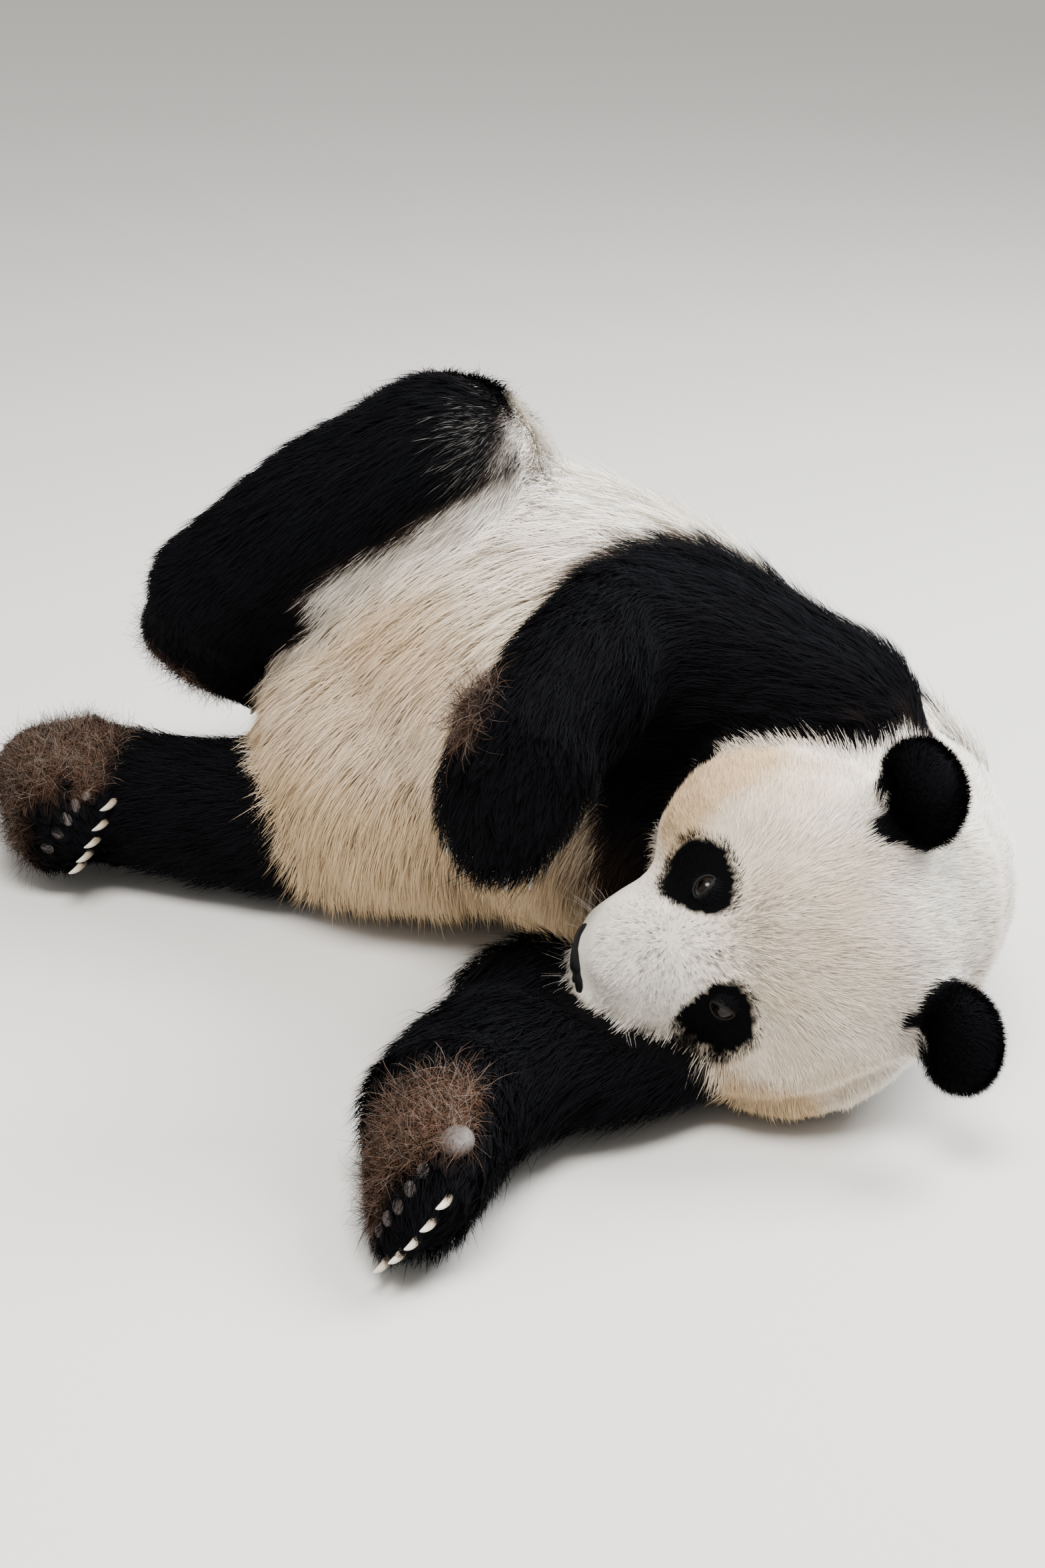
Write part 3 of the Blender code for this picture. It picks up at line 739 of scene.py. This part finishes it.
def build_ribbons(name, spine, half, shine, marks, spots):
    """One mesh of tapering ribbons: spine (n, k, 3), half their width (n, 3), shading direction (n, 3)."""
    n, k = spine.shape[:2]
    each = 2 * k - 1
    reach = half[:, None] * np.linspace(1.0, 0.85 if k == 3 else 0.35, k - 1)[:, None]
    pairs = np.stack([spine[:, :-1] - reach, spine[:, :-1] + reach], 2)
    points = np.concatenate([pairs.reshape(n, -1, 3), spine[:, -1:]], 1)
    points[:, :, 2] = np.maximum(points[:, :, 2], FLOOR)
    quads = [2 * i + c for i in range(k - 2) for c in (0, 1, 3, 2)]
    order = np.array(quads + [each - 3, each - 2, each - 1])
    mesh = bpy.data.meshes.new(name)
    mesh.vertices.add(n * each)
    store(mesh.vertices, "co", points)
    mesh.loops.add(n * len(order))
    store(mesh.loops, "vertex_index", np.arange(n)[:, None] * each + order, np.int32)
    mesh.polygons.add(n * (k - 1))
    store(mesh.polygons, "loop_start", np.arange(n)[:, None] * len(order) + 4 * np.arange(k - 1), np.int32)
    mesh.update(calc_edges=True)
    share = np.append(np.repeat(np.linspace(0, 1, k)[:-1], 2), 1.0)
    paint(mesh, "custom_normal", np.repeat(shine, each, axis=0))
    paint(mesh, "marks", np.repeat(marks, each, axis=0))
    paint(mesh, "along", np.tile(share, n))
    patch = np.stack([np.append(np.tile([-0.5, 0.5], k - 1), 0.0), share - 0.5], 1)[order] * PATCH
    store(mesh.uv_layers.new(name="OFBake").data, "uv", (spots[:, None] + patch).clip(0, 1))
    return placed(name, mesh)


def flipped(vectors, faces, ground):
    """Turn vectors about where their face looks into the skin."""
    return vectors * np.where(np.sum(faces * ground, axis=1, keepdims=True) < 0, -1.0, 1.0)


def shading_way(spine, half, ground, share=0.72):
    """Mostly the skin's own normal, partly the blade's, always on the outer side."""
    flat = unit(np.cross(half, spine[:, -1] - spine[:, 0]))
    return unit(ground * share + flipped(flat, flat, ground) * (1 - share))


def turned_outward(spine, half, ground):
    return flipped(half, np.cross(half, spine[:, 1] - spine[:, 0]), ground)


spine = np.stack([base, knee, tip], 1)
half = turned_outward(spine, side_way * (thick / 2)[:, None], normal)
shine = shading_way(spine, half, normal, 0.84 - 0.26 * at(on_head)[:, None])
# The patches are worked out again at the roots, because their edge is finer than the skin's mesh.
patched = eye_patches(at(head_place) + 0.0011 * gauss(total, 3), 1.07, 0.035)
patched = patched * step(0.3, 0.6, at(on_head))
# Tips that end in the same small cell share a tone.
lock = np.floor((tip + 0.002 * ripples(tip, 0.011, 40)) / 0.0036).astype(np.int64)
lock_chance = np.minimum(np.sin((lock @ np.array([12.9898, 78.233, 37.719])) * 43.7585) * 1.9, 0.45)
# Hair of the eye patches is coloured darker than other black hair: painted shade.
tone_and_patch_shade = 0.5 + (rng.random(total) - 0.5) * at(texture) + lock_chance * at(speckle) - 1.3 * patched
marks = np.stack([np.maximum(at(unpatched), patched), at(tan), at(brown), tone_and_patch_shade], 1)
edge_zone = 4 * marks[:, 0] * (1 - marks[:, 0])
grey = at(grizzle)
mingled = (0.22 + 0.15 * grey) * gauss(total) * edge_zone * (1 - 0.9 * patched)  # black among white at an edge
marks[:, 0] = step(0.3, 0.7, marks[:, 0] + mingled)
softly = 1 - (1 - np.clip(at(unpatched) + 0.05 * gauss(total), 0, 1)) ** 2
marks[:, 0] += (softly - marks[:, 0]) * at(on_knee)
marks[:, 0] *= 1 - 0.16 * (rng.random(total) < 0.4 * grey) * rng.random(total)
spots = roots.chart()
grown_on = stretch[corners[roots.chosen, 0]]
REGIONS = {"head": HEAD, "body": ["neck", "trunk", "tail"], "forelegs": FORELEGS, "hindlegs": HINDLEGS}
MOST_IN_PIECE = 65_000
coat = []
for region, nodes in REGIONS.items():
    mine = np.where(np.isin(grown_on, [FLESH.index(node) for node in nodes]))[0]
    mine = mine[np.argsort(root[mine, 0])]
    for i, pick in enumerate(np.array_split(mine, max(1, -(-len(mine) // MOST_IN_PIECE)))):
        parts = (values[pick] for values in (spine, half, shine, marks, spots))
        coat.append(build_ribbons(f"coat_{region}_{i + 1}", *parts))
print("pieces of coat:", len(coat), "triangles:", 3 * total)

# %% [markdown]
# ## Woolly soles
#
# The soles and the bend of the raised forearm carry long, loose, rusty hair that curls.  Each of these hairs
# has six points, and its direction turns steadily from one point to the next.

# %% Curly hair
def grow(name, groups, half_width, share=0.72):
    """One piece of coat from groups of spines, edges, normals of the skin, marks and places on the chart."""
    line, edge, ground, tint, where = (np.concatenate(parts) for parts in zip(*groups))
    edge = turned_outward(line, edge * half_width, ground)
    coat.append(build_ribbons(name, line, edge, shading_way(line, edge, ground, share), tint, where))
    print(name, "has", len(line), "hairs")


def tinted(count, *channels):
    return np.stack([np.broadcast_to(channel, count) for channel in channels], 1)


def curls(count, crowd, reach, turn_by):
    found = Roots(count, crowd)
    ground = unit(found.read(outward))
    way = unit(laid_flat(gauss(count, 3), ground) * 0.8 + ground * 0.75)
    axis = unit(gauss(count, 3))
    line = [found.read(place) - ground * 0.001]
    size = reach * varied(0.3, count, 0.4, 1.7) / 5
    for _ in range(5):
        line.append(line[-1] + way * size[:, None])
        way = unit(turned_by(way, np.cross(axis, way), turn_by * (1 + 0.3 * gauss(count))))
    line = np.stack(line, 1)
    edge = unit(np.cross(line[:, 2] - line[:, 0], gauss(count, 3)))
    tint = tinted(count, found.read(black) * 0.25, found.read(tan), 1.0, rng.random(count))
    return line, edge, ground, tint, found.chart()


crowd_woolly = areas * (step(0.25, 0.7, np.clip(palms, 0, 1)) * (1 - under))[corners].mean(axis=1)
crowd_wrist = areas * step(0.1, 0.55, wrist)[corners].mean(axis=1)
grow("coat_soles", [curls(18_000 // THIN_OUT, crowd_woolly, 0.028, 0.55),
                    curls(900 // THIN_OUT, crowd_wrist, 0.04, 0.5)], 0.00026 * WIDEN)

# %% [markdown]
# ## Hair of the lids, and whiskers
#
# Short black hair covers the lids up to their wet rim.  White whiskers stand round the muzzle.  Both are
# rooted at places worked out from the head's own axes.

# %% Hair on the lids
EYE_RADIUS = 0.0125
OPEN_LONG, OPEN_TALL = 0.76, 0.47  # half the opening of the lids, as angles at the eye's middle


def gaze_of(side):
    return (FACING * GAZE[0] + CROWN * GAZE[1] + RIGHT * GAZE[2] * side).normalized()


def across_eye(side):
    """The line through the corners of the lids: it runs up and out from the bridge of the nose."""
    gaze = gaze_of(side)
    line_way = CROWN * 0.35 + RIGHT * 0.75 * side - FACING * 0.45
    return (line_way - gaze * line_way.dot(gaze)).normalized()


def opening_at(turn):
    """Half the angle of the open lids, in the direction of this turn about the gaze."""
    wide = OPEN_LONG + 0.1 * max(0.0, math.cos(turn)) ** 8 + 0.14 * max(0.0, -math.cos(turn)) ** 6
    return 1 / math.sqrt((math.cos(turn) / wide) ** 2 + (math.sin(turn) / OPEN_TALL) ** 2)


nearest_skin = BVHTree.FromPolygons([Vector(p) for p in place], corners.tolist())


def chart_under(points):
    return chart[loops[[nearest_skin.find_nearest(Vector(p))[2] for p in points], 0]]


def lid_hair(side, count):
    gaze, long_way = np.array(gaze_of(side)), np.array(across_eye(side))
    turn = rng.random(count) * 2 * math.pi
    rim = np.array([opening_at(t) for t in turn])
    lean = rim + 0.17 + 0.85 * rng.random(count) ** 0.8
    radial = np.outer(np.cos(turn), long_way) + np.outer(np.sin(turn), np.cross(gaze, long_way))
    ground = turned_by(gaze, radial, lean)
    spot = np.array(EYES[side]) + ground * (EYE_RADIUS * 1.075)
    way = unit(unit(turned_by(radial, -gaze, lean)) + long_way * 0.35 + 0.25 * gauss(count, 3))
    size = (0.0035 + 0.0035 * np.clip((lean - rim) / 0.9, 0, 1)) * (1 + 0.2 * gauss(count))
    line = np.stack([spot, spot + (way * 0.9 + ground * 0.45) * (size * 0.5)[:, None],
                     spot + (way + ground * 0.3) * size[:, None]], 1)
    tint = tinted(count, 1.0, 0.0, 0.0, rng.random(count))
    return line, unit(np.cross(way, ground)), ground, tint, chart_under(spot)


grow("coat_lids", [lid_hair(side, 2600 // THIN_OUT) for side in SIDES], 0.00022 * WIDEN)

# %% Whiskers
def whiskers(count):
    """Hairs round the muzzle's rim, worked out in head axes and set on the nearest skin."""
    turn = rng.uniform(-0.95, 0.95, count) * math.pi
    f = 0.15 + 0.03 * np.cos(turn * 0.5) + 0.006 * gauss(count)
    u = -0.05 - 0.016 * np.cos(turn) + 0.01 * gauss(count)
    r = 0.056 * np.sin(turn * 0.5) + 0.004 * gauss(count) - 0.003
    way = np.stack([0.55 + 0.35 * np.cos(turn), -0.35 + 0.25 * gauss(count), 1.1 * np.sin(turn * 0.5)], 1)
    way = unit(way + 0.18 * gauss(count, 3)) @ HEAD_AXES
    found = [nearest_skin.find_nearest(Vector(p)) for p in np.stack([f, u, r], 1) @ HEAD_AXES + np.array(SKULL)]
    spot, ground = (np.array([hit[i] for hit in found]) for i in (0, 1))
    way = unit(way + ground * 0.6)
    bend = unit(0.7 * gauss(count, 3) + np.array([0, 0, -0.8]))
    size = rng.choice([0.014, 0.02, 0.03, 0.042], count, p=[0.34, 0.3, 0.22, 0.14]) * (1 + 0.15 * gauss(count))
    reach = size[:, None] * np.linspace(0, 1, 6)
    line = spot[:, None] + way[:, None] * reach[:, :, None] \
        + bend[:, None] * (0.22 * reach * np.linspace(0, 1, 6))[:, :, None]
    edge = unit(np.cross(way, gauss(count, 3)))
    return line, edge, ground, tinted(count, 0.0, 0.02, 0.0, 0.9), chart_under(spot)


grow("coat_whiskers", [whiskers(85)], 0.0001, share=1.0)

# %% [markdown]
# ## Colours of skin and coat
#
# One recipe colours both.  White hair is never white: it runs from a warm root to a pale tip, with patches of
# tan where the animal lies in its own dirt, and a deeper tan low on the belly that is painted shade.  The
# darker root of every hair is painted shade deep in the coat.  Black hair is a very dark blue-black with a
# soft, weak shine.

# %% One recipe for skin and hair
def coat_material(name):
    material, start, shader = start_material(name, roughness=0.75, specular_ior_level=0.03)
    marks_read = start.painted("marks", 0)
    dark = start.node("SeparateColor", _0=marks_read)
    tanned, russet, tone_and_patch_shade = dark.other(1), dark.other(2), marks_read.other(3)
    reach = start.painted("along")
    pale = tanned.blend((0.94, 0.915, 0.855), (0.66, 0.485, 0.29))
    # Each colour is darker at the root than at the tip: painted shade deep in the coat.
    pale_root_shade = tanned.blend((0.44, 0.385, 0.315), (0.34, 0.24, 0.15))
    light = (reach * 1.5).clamped().blend(pale_root_shade, pale)
    night = (reach ** 1.5).blend((0.0016, 0.0016, 0.002), (0.0062, 0.0066, 0.0086))
    rust = reach.blend((0.036, 0.018, 0.012), (0.15, 0.082, 0.052))
    body = (russet * (0.75 + tone_and_patch_shade * 0.35)).clamped().blend(dark.blend(light, night), rust)
    shade = start.node("HueSaturation", _4=body, value=0.8 + tone_and_patch_shade * 0.32)
    feed(shader, base_color=shade, roughness=0.74 + dark * 0.06)
    return material, start, shader


hair_finish = coat_material("coat_hair")[0]
skin_finish, start, shader = coat_material("coat_skin")
nap = start.node("TexNoise", scale=620.0, detail=3.0, roughness=0.6)
feed(shader, normal=nap.bump(0.5, 0.001))
for piece in coat:
    piece.data.materials.append(hair_finish)
skin.data.materials.append(skin_finish)
lips = step(0.0052, 0.0022, mouth_gap) * step(0.2, 0.6, on_head)
skin_black = np.maximum(step(0.35, 0.65, black), lips)
# The skin under the eye patches is coloured darker too: painted shade.
paint(skin.data, "marks", np.stack([skin_black, tan, brown, 0.4 - 1.3 * patches], 1))
# The skin takes the dark colour of the hair's roots, darker under long hair: painted shade under the coat.
paint(skin.data, "along", (0.22 + 0.18 * step(0.016, 0.007, length)) * (1 - 0.6 * black))
print("coat and skin painted")

# %% [markdown]
# ## Eyes and lids
#
# A panda's eye is small, dark and wet, sunk in black fur.  The eyeball is a smooth sphere with a clear gloss,
# and the lids are a thin dark shell around it with an almond-shaped opening and a fleshy rim.

# %% Eyeballs
def skin_rows(bm, rows, closed=True, capped=False):
    """Faces between rows of equally many points; rows that close on themselves make a tube."""
    rows = [[bm.verts.new(p) for p in row] for row in rows]
    for first, second in zip(rows, rows[1:]):
        for j in range(len(first) if closed else len(first) - 1):
            k = (j + 1) % len(first)
            bm.faces.new((first[j], first[k], second[k], second[j]))
    if capped:
        bm.faces.new(rows[0][::-1])
        bm.faces.new(rows[-1])
    bmesh.ops.recalc_face_normals(bm, faces=bm.faces)


def finished(name, bm, material):
    for face in bm.faces:
        face.smooth = True
    made = new_object(name, bm)
    made.data.materials.append(material)
    return made


def turns(count):
    return [2 * math.pi * j / count for j in range(count)]


def from_eye(side, turn, lean):
    """The way from the eye's middle at this lean from the gaze, and this turn about it."""
    gaze, line_way = gaze_of(side), across_eye(side)
    out = line_way * math.cos(turn) + gaze.cross(line_way) * math.sin(turn)
    return gaze * math.cos(lean) + out * math.sin(lean)


def banded(name, attribute, stops, scale, detail, blur, own_place=False, **constants):
    """Bands of colour along a painted value, with a speckle that frays their edges."""
    material, start, shader = start_material(name, **constants)
    coordinates = {"vector": start.node("TexCoord", output=3)} if own_place else {}
    speckle = start.node("TexNoise", **coordinates, scale=scale, detail=detail)
    tone = start.node("ValToRGB", {"stops": stops}, _0=start.painted(attribute) + (speckle - 0.5) * blur)
    feed(shader, base_color=tone)
    return material, shader, speckle


def build_eyeball(side):
    """A ball that bulges a little in front, as the cornea does."""
    bm = bmesh.new()
    rings = []
    for lean in (math.pi * i / 30 for i in range(1, 30)):
        bulge = 1 + 0.05 * math.exp(-(lean / 0.5) ** 2)
        rings.append([EYES[side] + from_eye(side, turn, lean) * EYE_RADIUS * bulge for turn in turns(48)])
    skin_rows(bm, rings, capped=True)
    made = finished("eyeball_" + SIDES[side], bm, wet_eye)
    gaze = gaze_of(side)
    paint(made.data, "from_gaze", [math.acos(max(-1, min(1, (v.co - EYES[side]).normalized().dot(gaze))))
                                   for v in made.data.vertices])
    return made


IRIS = [(0.0, (0.001, 0.001, 0.001)), (0.22, (0.001, 0.001, 0.001)), (0.27, (0.005, 0.003, 0.002)),
        (0.42, (0.007, 0.004, 0.003)), (0.54, (0.002, 0.001, 0.001)), (0.8, (0.005, 0.004, 0.004))]
wet_eye = banded("wet_eye", "from_gaze", IRIS, 900.0, 2.0, 0.06, roughness=0.25, specular_ior_level=0.05,
                 coat_weight=0.32, coat_roughness=0.02)[0]
eyeballs = {side: build_eyeball(side) for side in SIDES}
print("eyeballs:", len(eyeballs), "radius, mm:", EYE_RADIUS * 1000)

# %% Lids
# The lid's shell: how far each ring lies from the opening, as an angle, and how far it stands off the eyeball.
LID_PROFILE = [(0.0, 0.0001), (0.015, 0.0008), (0.05, 0.0013), (0.11, 0.0013), (0.17, 0.0009), (0.3, 0.0011),
               (0.52, 0.0008), (0.8, 0.0), (1.05, -0.0012)]
LID_STOPS = [(0.0, (0.003, 0.003, 0.003)), (0.08, (0.01, 0.009, 0.009)), (0.2, (0.002, 0.002, 0.002))]


def lid_point(side, turn, extra, stand):
    crease = 0.0003 * math.sin(turn * 11 + extra * 9) * step(0.1, 0.4, extra)
    return EYES[side] + from_eye(side, turn, opening_at(turn) + extra) * (EYE_RADIUS * 1.02 + stand - crease)


def build_lids(side):
    bm = bmesh.new()
    skin_rows(bm, [[lid_point(side, turn, *ring) for turn in turns(64)] for ring in LID_PROFILE])
    made = finished("lids_" + SIDES[side], bm, lid_skin)
    paint(made.data, "from_rim", np.repeat([extra for extra, _ in LID_PROFILE], 64))
    return made


lid_skin, shader, speckle = banded("lid_skin", "from_rim", LID_STOPS, 1400.0, 4.0, 0.05,
                                   roughness=0.6, specular_ior_level=0.12)
feed(shader, normal=speckle.bump(0.25, 0.0004))
lids = [build_lids(side) for side in SIDES]
print("lids:", len(lids))

# %% [markdown]
# ## The nose
#
# The nose is a pad of black leather, wide at the top and drawn in below, with two comma-shaped nostrils and a
# cleft between them.  It starts as a smooth pillow on a grid, and every point is then moved by a few hills and
# hollows.  Its grain is a pattern of small cells.

# %% Leather
def leather(name, cell_scale, wear_scale, detail, tones, rough, grain, **constants):
    """Fine cells over worn tones, with painted shade in the pits, where a piece has any painted on it."""
    material, start, shader = start_material(name, **constants)
    spot_in = start.node("TexCoord", output=3)
    cells = start.node("TexVoronoi", {"feature": "DISTANCE_TO_EDGE"}, vector=spot_in, scale=cell_scale)
    worn = start.node("TexNoise", vector=spot_in, scale=wear_scale, detail=detail)
    # The pits of the nostrils are coloured near black: painted shade.
    tone = start.painted("pit").clamped().blend(worn.blend(*tones), (0.001, 0.001, 0.001))
    feed(shader, base_color=tone, roughness=rough[0] + worn * rough[1], normal=cells.bump(grain, 0.0005))
    return material


nose_leather = leather("nose_leather", 620.0, 240.0, 3.0, ((0.0022, 0.0022, 0.0024), (0.006, 0.0056, 0.0062)),
                       (0.38, 0.22), 0.55, roughness=0.5, specular_ior_level=0.22)
pad_leather = leather("pad_leather", 520.0, 90.0, 4.0, ((0.05, 0.04, 0.037), (0.135, 0.115, 0.108)),
                      (0.42, 0.25), 0.45, roughness=0.55, specular_ior_level=0.45)
print("leathers:", nose_leather.name, pad_leather.name)

# %% Sculpt the nose
NOSE_HALF = (0.0096, 0.0138, 0.0395)
NOSE_TILT = math.radians(9.0)


def hill(*offsets):
    """1 in the middle, falling off like a bell; each offset comes with its own width."""
    return math.exp(-sum((offset / wide) ** 2 for offset, wide in offsets))


def nose_point(a, b):
    """A point of the pad in head axes: a runs round from its left edge, b from its lower edge to its top."""
    f, u, r = math.cos(b) * math.cos(a), math.sin(b), math.cos(b) * math.sin(a)
    square = 1 / (abs(f) ** 2.2 + abs(u) ** 2.6 + abs(r) ** 2.6) ** (1 / 2.45)
    f, u, r = f * square, u * square, r * square
    narrow = 1 - 0.26 * max(0.0, -u)
    cleft = 0.16 * hill((r, 0.075)) * (1.0 if u < 0.2 else 0.75)
    pit = rim = 0.0
    for side in SIDES:
        out = r * side - 0.42
        pit += hill((out * 0.9 + (u - 0.02) * 0.35, 0.17), (u + 0.06 - 1.1 * out ** 2, 0.2))
        slit = r * side - 0.68
        pit += 0.5 * hill((slit, 0.12), (u + 0.3 + 0.5 * slit, 0.08))
        rim += 0.09 * hill((r * side - 0.44, 0.26), (u - 0.42, 0.22))
    f = f + (rim - cleft - 0.55 * min(pit, 1.0)) * max(0.0, math.cos(a)) ** 0.5
    r = r * (1.24 if r < 0 else 1.0)
    wrap = (0.0076 if r > 0 else 0.0048) * r * r
    f, u = f * NOSE_HALF[0] - 0.0004 - wrap, u * NOSE_HALF[1] - 0.003
    r = r * narrow * NOSE_HALF[2] - 0.004
    f, u = f * math.cos(NOSE_TILT) + u * math.sin(NOSE_TILT), u * math.cos(NOSE_TILT) - f * math.sin(NOSE_TILT)
    return NOSE + FACING * f + CROWN * u + RIGHT * r, min(pit, 1.0)


def build_nose():
    columns, rows = 96, 60
    grid = [[nose_point(math.pi * 1.3 * (j / columns - 0.5), math.pi * (i / rows - 0.5) * 0.98)
             for j in range(columns + 1)] for i in range(rows + 1)]
    bm = bmesh.new()
    skin_rows(bm, [[spot for spot, _ in row] for row in grid], closed=False)
    made = finished("nose_leather", bm, nose_leather)
    paint(made.data, "pit", [pit for row in grid for _, pit in row])
    return made


nose = build_nose()
print("nose points:", len(nose.data.vertices))

# %% [markdown]
# ## Claws
#
# The claws of the frame have the right place and bend, but few faces.  Each is drawn again as a slender bent
# cone through the root, middle and tip of the claw it stands for; how far each point is from the root tells the
# horn where to turn from dark to ivory.

# %% Draw the claws
CLAWS = [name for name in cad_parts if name.startswith("claw_")]
CLAW_THICK = 0.0034


def horn_line(name):
    """Root, middle and tip of a claw of the frame."""
    _, forward, palm, _ = PAWS[name[5:name.rindex("_")]]
    own = read(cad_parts[name].data.vertices, "co", 3)
    reach = own @ unit(unit(forward) + unit(palm) * 0.6)
    low, high = np.percentile(reach, [20, 90])
    return [own[part].mean(axis=0) for part in (reach <= low, (reach > low) & (reach < high), reach >= high)]


def horn_rings(inner, middle, outer):
    """Rings of a cone along a bent line, a little longer than the claw of the frame."""
    inner, outer = inner + (inner - middle) * 0.5, outer + (outer - middle) * 0.45
    control = (middle * 2 - (inner + outer) * 0.5) * 0.8 + (inner + outer) * 0.1
    across = unit(np.cross(outer - inner, control - inner))
    for t in (i / 18 for i in range(19)):
        spot = inner * (1 - t) ** 2 + control * (2 * t * (1 - t)) + outer * t ** 2
        upright = np.cross(across, unit((control - inner) * (1 - t) + (outer - control) * t))
        thick = CLAW_THICK * (1 - t ** 2.2) ** 0.75 + 0.0002
        yield [spot + (across * math.cos(turn) * 0.78 + upright * math.sin(turn)) * thick for turn in turns(20)]


HORN = [(0.0, (0.16, 0.12, 0.09)), (0.35, (0.42, 0.34, 0.25)),
        (0.7, (0.68, 0.61, 0.5)), (1.0, (0.6, 0.55, 0.48))]
claw_horn, shader, grain = banded("claw_horn", "along", HORN, 420.0, 4.0, 0.35, own_place=True,
                                  roughness=0.36, specular_ior_level=0.5)
feed(shader, roughness=0.3 + grain * 0.2, normal=grain.bump(0.2, 0.0004))
claw_bm = bmesh.new()
for name in CLAWS:
    skin_rows(claw_bm, horn_rings(*horn_line(name)), capped=True)
claws = finished("claws", claw_bm, claw_horn)
paint(claws.data, "along", np.tile(np.repeat(np.linspace(0, 1, 19), 20), len(CLAWS)))
print("claws:", len(CLAWS), "faces:", len(claws.data.polygons))

# %% [markdown]
# ## Pads
#
# Bare grey pads show among the hair: one under each toe, and on each forepaw the round pad over the false
# thumb.  Each is a flattened ball, wrinkled by its material, set halfway into the skin.

# %% Pads of toes and thumbs
TOE_PAD, THUMB_PAD = (0.008, 0.0055, 0.003), (0.0165, 0.014, 0.0095)


def pad_places():
    """Where each pad is, the way it faces, the way the toes point, and half its size."""
    for centre, forward, palm, half_row in PAWS.values():
        ahead_way = Vector(forward).normalized()
        palm_way = (Vector(palm) - ahead_way * Vector(palm).dot(ahead_way)).normalized()
        row = palm_way.cross(ahead_way)
        for across in (-1, -0.5, 0, 0.5, 1):
            near = CHEEK + Vector(centre) + row * (half_row * across) - ahead_way * (0.01 + 0.012 * across ** 2)
            yield near + palm_way * 0.03, palm_way, ahead_way, TOE_PAD
    for paw, spot in (("forepaw_left", (0.042, -0.351, 0.107)), ("forepaw_right", (-0.205, -0.16, 0.285))):
        _, forward, palm, _ = PAWS[paw]
        yield CHEEK + Vector(spot), Vector(palm).normalized(), Vector(forward).normalized(), THUMB_PAD


pad_bm = bmesh.new()
for spot, palm_way, ahead_way, size in pad_places():
    found, ground, _, _ = nearest_skin.find_nearest(spot)
    out = (ground + palm_way * 0.3).normalized()
    long_way = (ahead_way - out * ahead_way.dot(out)).normalized()
    turn = Matrix((long_way, out.cross(long_way), out)).transposed()
    for vert in bmesh.ops.create_uvsphere(pad_bm, u_segments=28, v_segments=16, radius=1.0)["verts"]:
        vert.co = found + out * (size[2] * 0.15) + turn @ (vert.co * Vector(size))
pads = finished("pads", pad_bm, pad_leather)
print("faces of the pads:", len(pads.data.polygons))

# %% [markdown]
# ## Floor, light and camera
#
# A pale floor, a large soft lamp high above the viewer, another behind the animal and a pale sky keep the
# shadows open.  The camera looks down a little on the belly side.

# %% Stage
floor_material = start_material("pale_floor", roughness=0.9, base_color=(0.66, 0.65, 0.63, 1.0))[0]
floor_bm = bmesh.new()
bmesh.ops.create_grid(floor_bm, x_segments=1, y_segments=1, size=30.0)
floor = new_object("floor", floor_bm)
floor.data.materials.append(floor_material)

world = bpy.data.worlds.new("studio")
bpy.context.scene.world = world
world.use_nodes = True
sky = world.node_tree.nodes["Background"].inputs
sky["Color"].default_value = (0.97, 0.945, 0.905, 1.0)
sky["Strength"].default_value = 0.8


def soft_lamp(name, spot, aim, size, power, colour):
    light = bpy.data.lights.new(name, "AREA")
    light.shape = "DISK"
    light.size = size
    light.energy = power
    light.color = colour
    made = placed(name, light)
    made.location = spot
    made.rotation_euler = (Vector(aim) - Vector(spot)).to_track_quat("-Z", "Y").to_euler()


soft_lamp("key", (1.35, -0.75, 3.3), (0.1, 0.0, 0.2), 1.8, 255.0, (1.0, 0.97, 0.93))
soft_lamp("rim", (0.6, 2.4, 2.8), (-0.1, 0.1, 0.3), 2.2, 300.0, (0.97, 0.98, 1.0))

# The view is set by its two angles, azimuth and elevation, and by its place.
AZIMUTH, ELEVATION = math.radians(58.0), math.radians(20.0)
backward = Vector((math.sin(AZIMUTH) * math.cos(ELEVATION), -math.cos(AZIMUTH) * math.cos(ELEVATION),
                   math.sin(ELEVATION)))
lens = bpy.data.cameras.new("camera")
lens.lens = 71.07
lens.sensor_fit = "VERTICAL"
lens.sensor_height = 36.0
camera = placed("camera", lens)
camera.location = CHEEK + Vector((1.847, -1.421, 1.15))
camera.rotation_euler = backward.to_track_quat("Z", "Y").to_euler()
bpy.context.scene.camera = camera
print("camera at", rounded(camera.location))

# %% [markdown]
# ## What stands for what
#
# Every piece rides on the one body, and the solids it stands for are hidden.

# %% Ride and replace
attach(skin, "root")
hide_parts(*FLESH)
for piece in coat + lids:
    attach(piece, "root")
for side, eyeball in eyeballs.items():
    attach(eyeball, "root")
    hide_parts("eye_right" if side > 0 else "eye_left")
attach(nose, "root")
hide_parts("nose")
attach(claws, "root")
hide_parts(*CLAWS)
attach(pads, "root")
